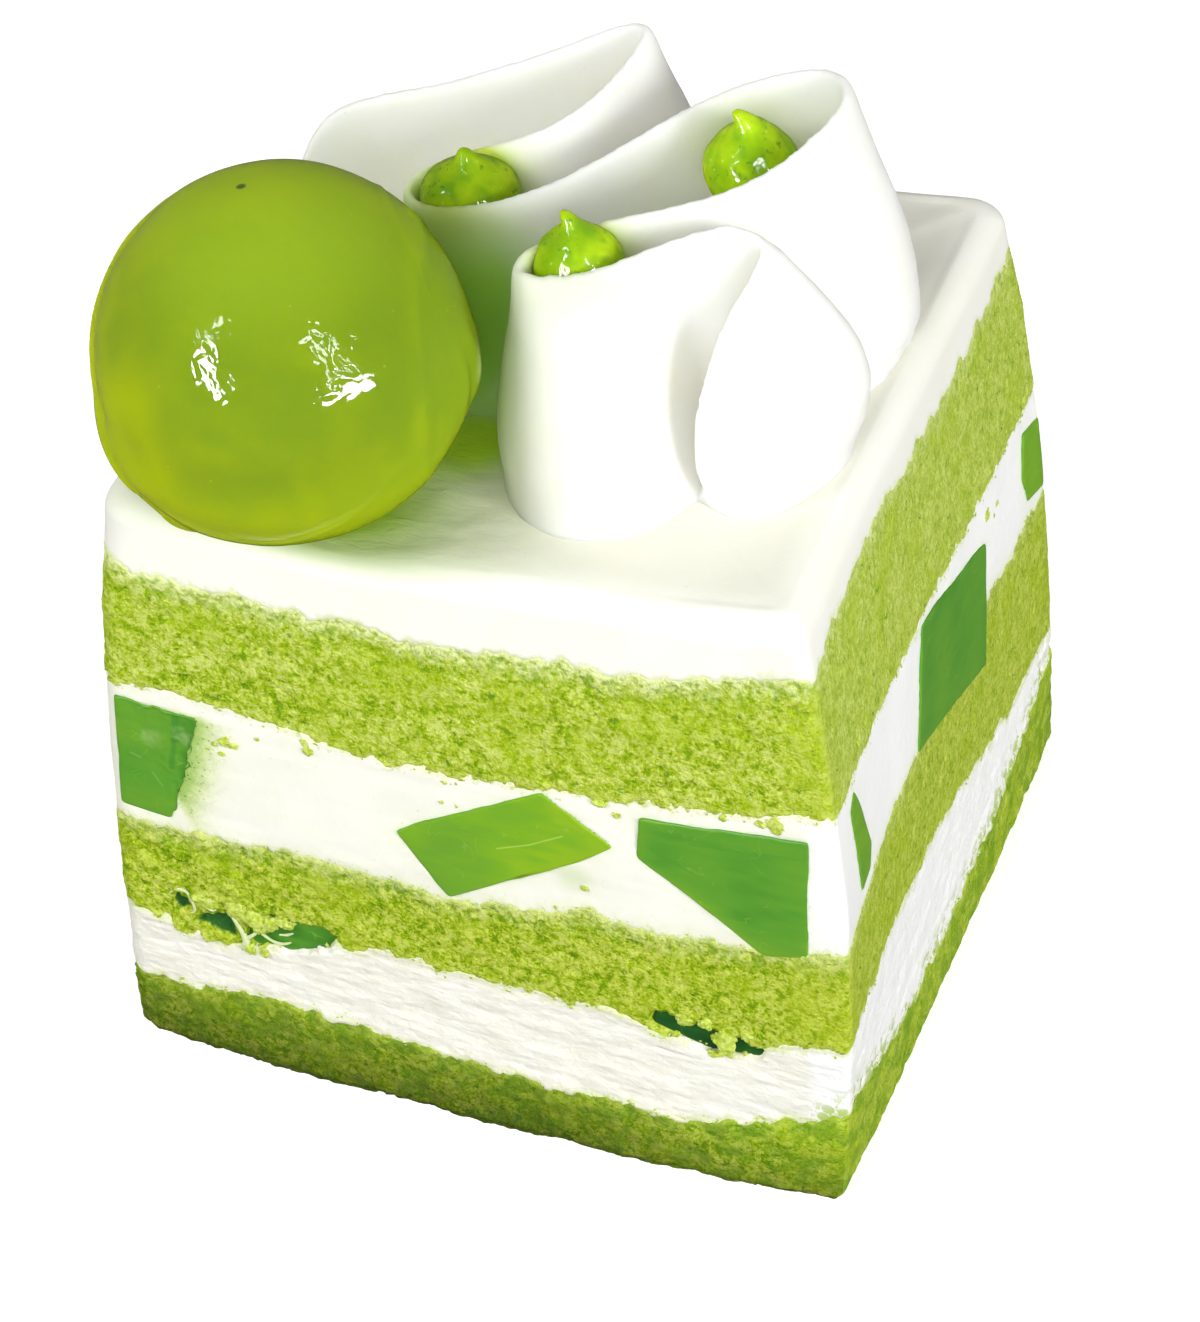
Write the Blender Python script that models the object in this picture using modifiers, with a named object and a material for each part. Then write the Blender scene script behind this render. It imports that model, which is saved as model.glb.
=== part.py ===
# Cream shortcake: one square-cut slice of green layer cake.
# Three sponge layers with cream between them and on top, cubes of green jelly
# in the filling, a glazed melon ball, a ribbon of piped cream and three drops
# of gel.  Metres, +Z up, front face towards -Y, origin on the ground at the
# middle of the slice's foot.

import math

import bpy
import bmesh
from mathutils import Vector

MM = 0.001
GAP = 0.3               # clearance kept between touching pieces, mm

# ---------------------------------------------------------------- dimensions
# All sizes below are in millimetres.

# The four upright edges of the slice lean in a little, because it stands
# slightly wider at its foot.  (front/back, left/right) -> (x, y)
FOOT_CORNERS = {(-1, -1): (-33.4, -29.5), (1, -1): (32.0, -29.8),
                (-1, 1): (-33.0, 29.4), (1, 1): (33.3, 29.7)}
TOP_CORNERS = {(-1, -1): (-29.1, -28.1), (1, -1): (29.7, -28.1),
               (-1, 1): (-28.9, 28.0), (1, 1): (29.1, 28.0)}
CORNER_RADIUS = {(-1, -1): 3.2, (1, -1): 1.3, (-1, 1): 3.0, (1, 1): 2.8}
SLICE_HEIGHT = 62.4     # height at which the top corners are given
BULGE_RIGHT = 0.7       # how far the right side swells at half height
BULGE_NEAR_CORNER = 1.6 # and how much more at its front corner
BULGE_FAR_CORNER = 0.5
BULGE_LEFT = 0.7
BULGE_FRONT = 0.5
FOOT_BOW_FRONT = 1.3    # the foot spreads between its corners
FOOT_BOW_RIGHT = 0.5
RIM_RADIUS = 2.0        # round edge of the top cream
SPONGE_INSET = 0.15     # the sponge's cut face stands back from the cream

# Height of the top of each layer, at seven stations along the front face
# (left to right) and at five along the right face (front to back).
LAYERS = (
    ("sponge_bottom", (7.4, 8.2, 8.0, 7.0, 6.6, 7.2, 11.4), (11.4, 6.8, 5.6, 7.2, 11.4)),
    ("cream_lower", (16.6, 14.4, 17.8, 17.5, 17.6, 16.3, 20.0), (20.0, 20.6, 18.8, 15.4, 14.4)),
    ("sponge_middle", (26.8, 27.2, 27.3, 26.4, 28.4, 28.5, 30.2), (30.2, 32.0, 31.8, 31.4, 30.6)),
    ("cream_middle", (42.9, 42.7, 41.2, 40.8, 42.0, 43.5, 44.8), (44.8, 44.4, 43.2, 42.6, 42.8)),
    ("sponge_top", (55.8, 55.2, 54.7, 54.6, 55.5, 56.7, 59.2), (59.2, 60.0, 58.9, 58.3, 59.2)),
    ("cream_top", (62.0, 61.2, 60.9, 61.3, 62.0, 62.6, 63.7), (63.7, 64.2, 63.9, 63.5, 63.2)),
)
FAR_FADE = 0.4          # share of the right face's waves left at the left face

# Jelly cubes cut by the knife: face they show on, corners of the cut
# (distance along the face, height), depth, and slant of the hidden end.
JELLIES = (
    ("jelly_front_left", "front", ((-30.4, 28.6), (-26.3, 28.4), (-24.2, 33.6), (-22.6, 40.6), (-29.6, 41.3)), 12.0, (1.0, 0.4)),
    ("jelly_front_middle", "front", ((-1.5, 26.6), (10.4, 34.3), (13.6, 37.0), (7.6, 41.2), (-3.1, 34.8), (-5.6, 33.0)), 11.0, (0.5, 1.2)),
    ("jelly_front_right", "front", ((15.4, 36.5), (20.1, 33.1), (25.9, 28.6), (29.7, 29.4), (29.9, 42.4), (15.7, 40.9)), 7.5, (-0.6, -0.2)),
    ("jelly_right_near", "right", ((-24.2, 32.8), (-21.6, 32.9), (-20.7, 35.0), (-22.6, 41.4), (-23.6, 43.6), (-25.2, 42.6)), 2.4, (0.6, 0.0)),
    ("jelly_right_middle", "right", ((-7.2, 32.0), (10.9, 25.6), (13.0, 37.8), (2.8, 41.2), (-3.7, 43.0)), 11.0, (0.8, 0.6)),
    ("jelly_right_far", "right", ((23.8, 33.2), (28.0, 31.8), (28.4, 35.2), (28.2, 39.4), (24.0, 40.6), (22.8, 36.6)), 6.0, (-0.6, 0.0)),
    ("jelly_low_left", "front", ((-22.0, 14.6), (-17.0, 14.9), (-13.1, 16.4), (-11.6, 18.0), (-16.4, 18.8), (-22.6, 18.4)), 8.0, (0.5, 0.2)),
    ("jelly_low_right", "front", ((16.4, 16.4), (21.4, 16.0), (25.4, 16.4), (25.2, 17.6), (20.8, 17.8), (16.8, 18.0)), 8.0, (0.4, 0.2)),
)

# Glazed melon ball.
BALL_CENTRE = (-14.1, -21.0, 75.0)
BALL_RADIUS = 14.6
GLAZE_SKIRT = 1.2       # how far the glaze swells where it ran down

# Piped cream ribbon.  It is laid in zigzags; p runs along the zigzags and q
# from the back row to the front row, both turned from the slice's own axes.
RIBBON_TURN = 23.6
TOP_LEVEL = 62.4        # lips are measured up from here
# sheet, lip left end (p, q, height), lip right end, bow, sway,
#   foot left (p, q), foot right (p, q), belly left (p, q), belly right (p, q)
SHEETS = (
    ("A", (-21.8, -14.6, 13.8), (8.6, -14.0, 21.8), -0.6, -0.6, (-18.6, -12.4), (10.5, -12.0), (-2.0, -1.5), (2.0, -1.5)),
    ("B", (-12.5, -4.8, 14.0), (9.2, -12.4, 21.8), 4.2, -1.5, (-9.5, -4.0), (10.8, -9.0), (-1.0, 0.0), (2.2, -0.4)),
    ("C", (-12.5, -1.8, 14.0), (22.2, -1.4, 24.7), 1.6, 2.6, (-9.0, 1.0), (23.6, 0.4), (-1.0, 0.0), (3.0, -0.6)),
    ("D", (-3.8, 12.4, 19.4), (23.2, 1.2, 24.7), 4.6, -1.8, (-1.2, 11.5), (23.8, 3.4), (-1.0, 0.0), (3.0, 0.8)),
    ("E", (-4.0, 14.6, 19.4), (15.2, 14.4, 22.6), 1.2, 0.9, (-0.2, 18.0), (18.2, 14.0), (-2.6, 1.0), (1.5, 0.8)),
)
FRONT_SWELL = 2.6       # sheet E swells forward over its first half,
HOLLOW = 1.3            # falls back into a soft hollow past its middle
RISE_TO_TAIL = 1.0      # and rises again to the edge of the tail
START_ROUND = 0.16      # share of sheet A over which it rises from its end
# The tail wraps round in front of sheet E and ends at its foot: stations of
# its edge (p, q, height), of its foot (p, q) and of its belly (p, q).
TAIL = (
    ((15.6, 16.4, 22.4), (18.8, 14.6), (2.2, 1.6)),
    ((12.9, 18.0, 19.0), (18.4, 16.4), (2.6, 2.4)),
    ((10.5, 19.8, 15.0), (17.4, 18.0), (2.2, 2.8)),
    ((9.0, 21.4, 10.5), (16.0, 19.2), (1.4, 2.6)),
    ((8.8, 22.4, 6.5), (14.4, 19.9), (0.8, 1.8)),
    ((9.6, 22.6, 3.2), (12.8, 20.4), (0.2, 0.8)),
)
LIP_THICKNESS = 1.5
SHEET_FOOT_THICKNESS = 8.6
RIBBON_VOXEL = 0.75
RIBBON_TRIANGLES = 2700

# Gel drops: place (x, y, z of the middle), width, height, lean of the peak.
DROPS = (
    ("gel_drop_back", (-7.0, -0.1, 76.2), 7.0, 6.4, (-0.8, 0.2)),
    ("gel_drop_right", (15.3, 3.6, 81.0), 7.0, 6.8, (-0.8, -0.2)),
    ("gel_drop_front", (6.4, -10.9, 80.4), 6.2, 7.0, (-1.1, -0.1)),
)

# ----------------------------------------------------------------- materials


def make_material(name, colour, roughness, metallic=0.0):
    mat = bpy.data.materials.new(name)
    mat.use_nodes = True
    bsdf = mat.node_tree.nodes["Principled BSDF"]
    bsdf.inputs["Base Color"].default_value = (*colour, 1.0)
    bsdf.inputs["Roughness"].default_value = roughness
    bsdf.inputs["Metallic"].default_value = metallic
    mat.diffuse_color = (*colour, 1.0)
    return mat


COLOURS = {
    "sponge_bottom": ((0.25, 0.33, 0.035), 0.9),
    "sponge_middle": ((0.40, 0.52, 0.050), 0.9),
    "sponge_top": ((0.43, 0.55, 0.060), 0.9),
    "cream_lower": ((0.86, 0.85, 0.76), 0.6),
    "cream_middle": ((0.90, 0.90, 0.83), 0.55),
    "cream_top": ((0.90, 0.90, 0.84), 0.5),
    "cream_ribbon": ((0.92, 0.92, 0.87), 0.5),
    "jelly": ((0.12, 0.38, 0.035), 0.15),
    "melon_ball": ((0.28, 0.46, 0.020), 0.08),
    "gel": ((0.33, 0.55, 0.020), 0.1),
}

# ------------------------------------------------------------- shape helpers


def smoothstep(x):
    x = min(1.0, max(0.0, x))
    return x * x * (3.0 - 2.0 * x)


def through(values, t):
    """Smooth curve through evenly spaced stations, t from 0 to 1."""
    n = len(values) - 1
    s = min(max(t, 0.0), 1.0) * n
    i = min(int(s), n - 1)
    f = s - i
    p1, p2 = values[i], values[i + 1]
    p0 = values[i - 1] if i > 0 else p1
    p3 = values[i + 2] if i + 2 <= n else p2
    return 0.5 * ((2 * p1) + (p2 - p0) * f + (2 * p0 - 5 * p1 + 4 * p2 - p3) * f * f
                  + (3 * p1 - p0 - 3 * p2 + p3) * f ** 3)


def level(k, u, v):
    """Height of the top of layer k at plan position u, v (both -1 to 1)."""
    if k < 0:
        return 0.0
    _, front, right = LAYERS[k]
    share = FAR_FADE + (1.0 - FAR_FADE) * (u + 1.0) / 2.0
    return through(front, (u + 1.0) / 2.0) + (through(right, (v + 1.0) / 2.0) - right[0]) * share


def plan(u, v, z, inset=0.0):
    """World x, y of plan position u, v at height z."""
    quadrant = (1 if u > 0 else -1, 1 if v > 0 else -1)
    r = CORNER_RADIUS[quadrant] * (0.55 + 0.45 * smoothstep((z - 50.0) / 10.0)) / 30.0
    a = min(1.0, (abs(u) - (1.0 - r)) / r)
    b = min(1.0, (abs(v) - (1.0 - r)) / r)
    if a > 0.0 and b > 0.0:        # square corner mapped to a round one
        a, b = a * math.sqrt(1.0 - 0.5 * b * b), b * math.sqrt(1.0 - 0.5 * a * a)
        u = math.copysign(1.0 - r + r * a, u)
        v = math.copysign(1.0 - r + r * b, v)
    shrink = 1.0 - inset / 30.0
    u, v = u * shrink, v * shrink
    f = z / SLICE_HEIGHT
    x = y = 0.0
    for (su, sv), foot in FOOT_CORNERS.items():
        w = (1.0 + su * u) * (1.0 + sv * v) / 4.0
        top = TOP_CORNERS[(su, sv)]
        x += w * (foot[0] * (1.0 - f) + top[0] * f)
        y += w * (foot[1] * (1.0 - f) + top[1] * f)
    swell = math.sin(math.pi * min(max(f, 0.0), 1.0)) ** 0.9
    if u > 0.0:
        corner = BULGE_NEAR_CORNER * ((1.0 - v) / 2.0) ** 4 + BULGE_FAR_CORNER * ((1.0 + v) / 2.0) ** 3
        x += (BULGE_RIGHT + corner) * swell * u
    else:
        x += BULGE_LEFT * swell * u
    y += BULGE_FRONT * swell * v
    spread = max(0.0, 1.0 - z / 16.0) ** 1.5
    x += FOOT_BOW_RIGHT * spread * u * (1.0 - v ** 4)
    y += FOOT_BOW_FRONT * spread * v * (1.0 - u ** 4)
    return x, y


def find_plan(x, y, z):
    """Plan position u, v of a world point, by repeated correction."""
    u, v = x / 31.0, y / 29.0
    for _ in range(12):
        px, py = plan(u, v, z)
        u = max(-1.0, min(1.0, u + (x - px) / 31.0))
        v = max(-1.0, min(1.0, v + (y - py) / 29.0))
    return u, v


def top_height(x, y):
    """Height of the cake's top surface under a world point."""
    u, v = find_plan(x, y, 62.0)
    return level(5, max(-1.0, min(1.0, u)), max(-1.0, min(1.0, v)))


def new_object(name, bm, colour, collection, smooth=True):
    bmesh.ops.recalc_face_normals(bm, faces=bm.faces)
    mesh = bpy.data.meshes.new(name)
    bm.to_mesh(mesh)
    bm.free()
    obj = bpy.data.objects.new(name, mesh)
    collection.objects.link(obj)
    rgb, rough = COLOURS[colour]
    mesh.materials.append(make_material(name + "_finish", rgb, rough))
    if smooth:
        mesh.shade_smooth()
        mesh.set_sharp_from_angle(angle=math.radians(50))
    return obj


def cut_cube(stations_uv, stations_w):
    """Unit cube from -1 to 1 cut along the given plan and height stations."""
    bm = bmesh.new()
    bmesh.ops.create_cube(bm, size=2.0)
    for axis, stations in ((0, stations_uv), (1, stations_uv), (2, stations_w)):
        for s in stations:
            point = Vector((0.0, 0.0, 0.0))
            point[axis] = s
            normal = Vector((0.0, 0.0, 0.0))
            normal[axis] = 1.0
            bmesh.ops.bisect_plane(bm, geom=bm.verts[:] + bm.edges[:] + bm.faces[:],
                                   dist=1e-6, plane_co=point, plane_no=normal)
    return bm


def add_cut(target, cutter, name):
    mod = target.modifiers.new(name, "BOOLEAN")
    mod.operation = "DIFFERENCE"
    mod.solver = "EXACT"
    mod.object = cutter


def hide_cutter(obj):
    obj.hide_render = True
    obj.display_type = "WIRE"


# -------------------------------------------------------------------- layers

PLAN_STATIONS = [-0.955] + [-0.84 + 1.68 * i / 7.0 for i in range(8)] + [0.955]


def build_layer(k, collection):
    name = LAYERS[k][0]
    is_top = k == len(LAYERS) - 1
    is_sponge = name.startswith("sponge")
    if is_top:
        rows = [-0.2] + [0.6 + 0.1 * i for i in range(1, 4)]
    else:
        rows = [0.0]
    bm = cut_cube(PLAN_STATIONS, rows)
    for vert in bm.verts:
        u, v, w = vert.co
        low = level(k - 1, u, v) + (GAP / 2.0 if k > 0 else 0.0)
        high = level(k, u, v) - (0.0 if is_top else GAP / 2.0)
        inset = SPONGE_INSET if is_sponge else 0.0
        if is_top:
            start = 0.6                       # rounding begins here
            if w <= start + 1e-6:
                z = low + (high - RIM_RADIUS - low) * (w + 1.0) / (1.0 + start)
            else:
                angle = (w - start) / (1.0 - start) * math.pi / 2.0
                z = high - RIM_RADIUS * (1.0 - math.sin(angle))
                inset += RIM_RADIUS * (1.0 - math.cos(angle))
        else:
            z = low + (high - low) * (w + 1.0) / 2.0
        x, y = plan(u, v, z, inset)
        vert.co = (x * MM, y * MM, z * MM)
    return new_object(name, bm, name, collection)


# --------------------------------------------------------------------- jelly


def build_envelope(name, inset, collection):
    """The whole slice in one closed shape; it trims the jelly to the cuts."""
    bm = cut_cube(PLAN_STATIONS, [-1.0 + 0.2 * i for i in range(1, 10)])
    for vert in bm.verts:
        u, v, w = vert.co
        z = (w + 1.0) / 2.0 * SLICE_HEIGHT
        x, y = plan(u, v, z, inset)
        vert.co = (x * MM, y * MM, z * MM)
    return new_object(name, bm, "jelly", collection, smooth=False)


def build_prism(name, face, outline, depth, slant, grow, collection):
    """Straight-sided block of jelly, reaching out past the face it shows on."""
    cx = sum(p[0] for p in outline) / len(outline)
    cz = sum(p[1] for p in outline) / len(outline)
    if face == "front":
        outward, side = Vector((0.0, -1.0, 0.0)), Vector((1.0, 0.0, 0.0))
    else:
        outward, side = Vector((1.0, 0.0, 0.0)), Vector((0.0, 1.0, 0.0))
    up = Vector((0.0, 0.0, 1.0))
    face_distance = 29.4 if face == "front" else 32.6
    bm = bmesh.new()
    outer, inner = [], []
    for along, z in outline:
        d = math.hypot(along - cx, z - cz)
        a = cx + (along - cx) * (1.0 + grow / d)
        h = cz + (z - cz) * (1.0 + grow / d)
        point = side * a + up * h + outward * face_distance
        slope = (side * slant[0] + up * slant[1]) / depth
        outer.append(bm.verts.new((point + (outward - slope) * 4.0) * MM))
        inner.append(bm.verts.new((point - (outward - slope) * (depth + grow)) * MM))
    n = len(outline)
    bm.faces.new(outer)
    bm.faces.new(list(reversed(inner)))
    for i in range(n):
        j = (i + 1) % n
        bm.faces.new((outer[j], outer[i], inner[i], inner[j]))
    bmesh.ops.triangulate(bm, faces=[f for f in bm.faces if len(f.verts) > 3])
    return new_object(name, bm, "jelly", collection, smooth=False)


# ---------------------------------------------------------------------- ball


def build_ball(name, grow, collection, floor_cut=True):
    """Glazed ball: a sphere with the glaze swollen low down on its left and
    front, flattened where it sits on the cream."""
    bm = bmesh.new()
    bmesh.ops.create_icosphere(bm, subdivisions=4, radius=1.0)
    cx, cy, cz = BALL_CENTRE
    for vert in bm.verts:
        d = vert.co.normalized()
        low = smoothstep((-d.z - 0.02) / 0.36) * smoothstep((0.86 + d.z) / 0.30)
        around = math.atan2(d.y, d.x)
        wave = (0.5 + 0.5 * math.cos(around + math.radians(138.0))) ** 2
        r = BALL_RADIUS + GLAZE_SKIRT * low * wave + grow
        r += 0.12 * math.sin(3.0 * around + 1.0) * (1.0 - d.z * d.z)
        x, y, z = cx + d.x * r, cy + d.y * r, cz + d.z * r
        if floor_cut:
            z = max(z, top_height(x, y) + GAP)
        vert.co = (x * MM, y * MM, z * MM)
    return new_object(name, bm, "melon_ball", collection)


# -------------------------------------------------------------------- ribbon


def ribbon_path():
    """Lip, foot and belly along the whole zigzag, as dense samples."""
    samples = []
    steps = 26
    for index, (_, ll, lr, bow, sway, fl, fr, bl, br) in enumerate(SHEETS):
        order = range(steps + 1)
        if index % 2 == 1:
            order = reversed(order)
        for i in order:
            t = i / steps
            wave = bow * math.sin(math.pi * t) + sway * math.sin(2.0 * math.pi * t)
            lip = [a + (b - a) * t for a, b in zip(ll, lr)]
            lip[1] += wave
            foot = [a + (b - a) * t for a, b in zip(fl, fr)]
            foot[1] += 0.8 * wave
            belly = [a * (1.0 - t) ** 3 + b * t ** 3 for a, b in zip(bl, br)]
            if index == 4:
                front = math.sin(math.pi * min(t / 0.60, 1.0))
                back = math.sin(math.pi * min(max((t - 0.40) / 0.28, 0.0), 1.0))
                meet = math.sin(math.pi * min(max((t - 0.60) / 0.40, 0.0), 1.0))
                belly[1] += FRONT_SWELL * front - HOLLOW * back + RISE_TO_TAIL * meet
                foot[1] += 1.3 * front - 0.8 * back
            if index == 0:
                belly[1] -= 1.2 * math.sin(math.pi * t)
                rise = min(1.0, t / START_ROUND)
                lip[2] *= 0.35 + 0.65 * math.sqrt(1.0 - (1.0 - rise) ** 2)
            samples.append((lip, foot, belly, [1.0]))
    tail_steps = 26
    for i in range(1, tail_steps + 1):
        t = i / tail_steps
        lip = [through([s[0][c] for s in TAIL], t) for c in range(3)]
        foot = [through([s[1][c] for s in TAIL], t) for c in range(2)]
        belly = [through([s[2][c] for s in TAIL], t) for c in range(2)]
        samples.append((lip, foot, belly, [0.2]))
    flat = [list(a) + list(b) + list(c) + d for a, b, c, d in samples]
    for _ in range(5):              # rounds the turns at the ends of the rows
        flat = [flat[0]] + [[(a + 2.0 * b + c) / 4.0 for a, b, c in zip(flat[i - 1], flat[i], flat[i + 1])]
                            for i in range(1, len(flat) - 1)] + [flat[-1]]
    return flat


def turn(p, q):
    a = math.radians(RIBBON_TURN)
    return p * math.cos(a) + q * math.sin(a), p * math.sin(a) - q * math.cos(a)


def build_ribbon(name, collection):
    """The zigzag sheet: a blade from foot to lip swept along the path, thick
    at the foot where the rows run together and thin at the lip."""
    path = ribbon_path()
    n = len(path)
    heights = [0.0, 0.18, 0.36, 0.54, 0.70, 0.84, 0.94, 1.0]

    def half(h):
        thick = LIP_THICKNESS + (SHEET_FOOT_THICKNESS - LIP_THICKNESS) * (1.0 - smoothstep(h / 0.92)) ** 0.9
        if h > 0.9:
            thick *= math.sqrt(max(0.0, 1.0 - ((h - 0.9) / 0.115) ** 2))
        return thick / 2.0

    bm = bmesh.new()
    rings = []
    for i, (lp, lq, lz, fp, fq, bp, bq, keep) in enumerate(path):
        a, b = path[max(0, i - 2)], path[min(n - 1, i + 2)]
        ring = []
        for side, order in ((1.0, heights), (-1.0, list(reversed(heights)))):
            for h in order:
                share = h * keep            # the tail's lip turns back on itself
                tp = (b[0] - a[0]) * share + (b[3] - a[3]) * (1.0 - share)
                tq = (b[1] - a[1]) * share + (b[4] - a[4]) * (1.0 - share)
                size = math.hypot(tp, tq) or 1.0
                np_, nq_ = -tq / size, tp / size
                swell = math.sin(math.pi * h ** 0.85)
                p = fp + (lp - fp) * h + bp * swell + side * half(h) * np_
                q = fq + (lq - fq) * h + bq * swell + side * half(h) * nq_
                x, y = turn(p, q)
                z = TOP_LEVEL - 3.0 + (lz + 3.0) * h
                ring.append(bm.verts.new((x * MM, y * MM, z * MM)))
        rings.append(ring)
    m = len(rings[0])
    for r0, r1 in zip(rings, rings[1:]):
        for j in range(m):
            k = (j + 1) % m
            bm.faces.new((r0[j], r0[k], r1[k], r1[j]))
    bm.faces.new(list(reversed(rings[0])))
    bm.faces.new(rings[-1])
    obj = new_object(name, bm, "cream_ribbon", collection)
    remesh = obj.modifiers.new("join_rows", "REMESH")
    remesh.mode = "VOXEL"
    remesh.voxel_size = RIBBON_VOXEL * MM
    soften = obj.modifiers.new("soften", "SMOOTH")
    soften.factor = 0.5
    soften.iterations = 5
    return obj


# --------------------------------------------------------------------- drops


def build_drop(name, place, width, height, lean, grow, collection):
    """Gel drop: a round blob drawn up to a small leaning peak."""
    bm = bmesh.new()
    bmesh.ops.create_uvsphere(bm, u_segments=14, v_segments=9, radius=1.0)
    for vert in bm.verts:
        d = vert.co.copy()
        r = width / 2.0 + grow
        peak = smoothstep((d.z - 0.45) / 0.55)
        x = d.x * r * (1.0 - 0.35 * peak)
        y = d.y * r * (1.0 - 0.35 * peak)
        z = d.z * (height * 0.42 + grow) if d.z > 0.0 else d.z * (height * 0.38 + grow)
        z += (height * 0.34) * peak ** 2.2
        x += lean[0] * peak ** 2
        y += lean[1] * peak ** 2
        vert.co = ((place[0] + x) * MM, (place[1] + y) * MM, (place[2] + z) * MM)
    return new_object(name, bm, "gel", collection)


# --------------------------------------------------------------------- build


def baked(obj):
    """Replace an object's mesh by its evaluated one, as plain triangles."""
    graph = bpy.context.evaluated_depsgraph_get()
    mesh = bpy.data.meshes.new_from_object(obj.evaluated_get(graph))
    obj.modifiers.clear()
    obj.data = mesh


def main():
    for obj in list(bpy.data.objects):
        bpy.data.objects.remove(obj, do_unlink=True)
    cake = bpy.data.collections.new("cream_shortcake")
    cutters = bpy.data.collections.new("cutters")
    for c in (cake, cutters):
        bpy.context.scene.collection.children.link(c)
    root = bpy.data.objects.new("cream_shortcake_root", None)
    cake.objects.link(root)

    layers = {LAYERS[k][0]: build_layer(k, cake) for k in range(len(LAYERS))}

    # each jelly cube sits in a pocket of the layers it touches
    envelope = build_envelope("slice_envelope", 0.05, cutters)
    hide_cutter(envelope)
    for name, face, outline, depth, slant in JELLIES:
        cube = build_prism(name, face, outline, depth, slant, 0.0, cake)
        trim = cube.modifiers.new("knife_cut", "BOOLEAN")
        trim.operation = "INTERSECT"
        trim.solver = "EXACT"
        trim.object = envelope
        low = min(p[1] for p in outline)
        high = max(p[1] for p in outline)
        cutter = build_prism(name + "_pocket", face, outline, depth, slant, GAP * 1.4, cutters)
        hide_cutter(cutter)
        for k, (layer, front, right) in enumerate(LAYERS):
            row = front if face == "front" else right
            floor = min(LAYERS[k - 1][1 if face == "front" else 2]) if k else 0.0
            if high + 0.6 > floor and low - 0.6 < max(row):
                add_cut(layers[layer], cutter, name)

    ball = build_ball("melon_ball", 0.0, cake)
    ball_cutter = build_ball("melon_ball_clearance", GAP * 1.2, cutters, floor_cut=False)
    hide_cutter(ball_cutter)

    # the ribbon stands on the top cream and keeps clear of ball and drops
    ribbon = build_ribbon("cream_ribbon", cake)
    decimate = ribbon.modifiers.new("lighten", "DECIMATE")
    baked_faces = 0
    graph = bpy.context.evaluated_depsgraph_get()
    decimate.ratio = 1.0
    graph.update()
    baked_faces = len(ribbon.evaluated_get(graph).data.polygons) * 2
    decimate.ratio = min(1.0, RIBBON_TRIANGLES / baked_faces)
    baked(ribbon)

    bm = cut_cube([0.9 * s for s in [-1.0] + PLAN_STATIONS + [1.0]], [])
    for vert in bm.verts:
        u, v, w = vert.co
        cu, cv = max(-1.0, min(1.0, u / 0.9)), max(-1.0, min(1.0, v / 0.9))
        z = level(5, cu, cv)
        x, y = plan(cu, cv, z, RIM_RADIUS)
        x += 60.0 * (u - 0.9 * cu)          # one more ring outside the rim
        y += 60.0 * (v - 0.9 * cv)
        vert.co = (x * MM, y * MM, (z + GAP if w > 0 else 40.0) * MM)
    under = new_object("ribbon_seat", bm, "cream_top", cutters)
    hide_cutter(under)
    add_cut(ribbon, under, "seat")
    add_cut(ribbon, ball_cutter, "ball")
    for name, place, width, height, lean in DROPS:
        build_drop(name, place, width, height, lean, 0.0, cake)
        cutter = build_drop(name + "_seat", place, width, height, lean, GAP * 1.3, cutters)
        hide_cutter(cutter)
        add_cut(ribbon, cutter, name)

    for obj in list(cake.objects):
        if obj is not root:
            obj.parent = root


main()
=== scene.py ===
"""Cream shortcake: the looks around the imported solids.  Lengths are worked out
in millimetres and turned into metres when a mesh is made."""
import math

import bpy
import bmesh
import numpy as np
from mathutils import Matrix, Vector


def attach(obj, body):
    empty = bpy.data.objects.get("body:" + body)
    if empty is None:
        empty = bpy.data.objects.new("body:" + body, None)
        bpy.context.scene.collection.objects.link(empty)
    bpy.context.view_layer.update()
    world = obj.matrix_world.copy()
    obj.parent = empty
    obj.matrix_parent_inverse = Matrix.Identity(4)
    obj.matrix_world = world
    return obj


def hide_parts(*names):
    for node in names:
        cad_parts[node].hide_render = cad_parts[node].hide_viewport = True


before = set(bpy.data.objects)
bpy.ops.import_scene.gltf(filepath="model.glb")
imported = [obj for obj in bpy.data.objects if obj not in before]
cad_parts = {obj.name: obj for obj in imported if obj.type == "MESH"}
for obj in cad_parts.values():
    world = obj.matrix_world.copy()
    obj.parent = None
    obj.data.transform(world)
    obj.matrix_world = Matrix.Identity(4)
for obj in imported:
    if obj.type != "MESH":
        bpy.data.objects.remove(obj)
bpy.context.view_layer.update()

MM = 0.001

# ------------------------------------------------------------------ dimensions

FOOT_CORNERS = {(-1, -1): (-33.4, -29.5), (1, -1): (32.0, -29.8),
                (-1, 1): (-33.0, 29.4), (1, 1): (33.3, 29.7)}
TOP_CORNERS = {(-1, -1): (-29.1, -28.1), (1, -1): (29.7, -28.1),
               (-1, 1): (-28.9, 28.0), (1, 1): (29.1, 28.0)}
CORNER_RADIUS = {(-1, -1): 3.2, (1, -1): 1.3, (-1, 1): 3.0, (1, 1): 2.8}
SLICE_HEIGHT = 62.4
BULGE_RIGHT = 0.7
BULGE_NEAR_CORNER = 1.6
BULGE_FAR_CORNER = 0.5
BULGE_LEFT = 0.7
BULGE_FRONT = 0.5
FOOT_BOW_FRONT = 1.3
FOOT_BOW_RIGHT = 0.5
RIM_RADIUS = 2.0
FAR_FADE = 0.4

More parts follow.
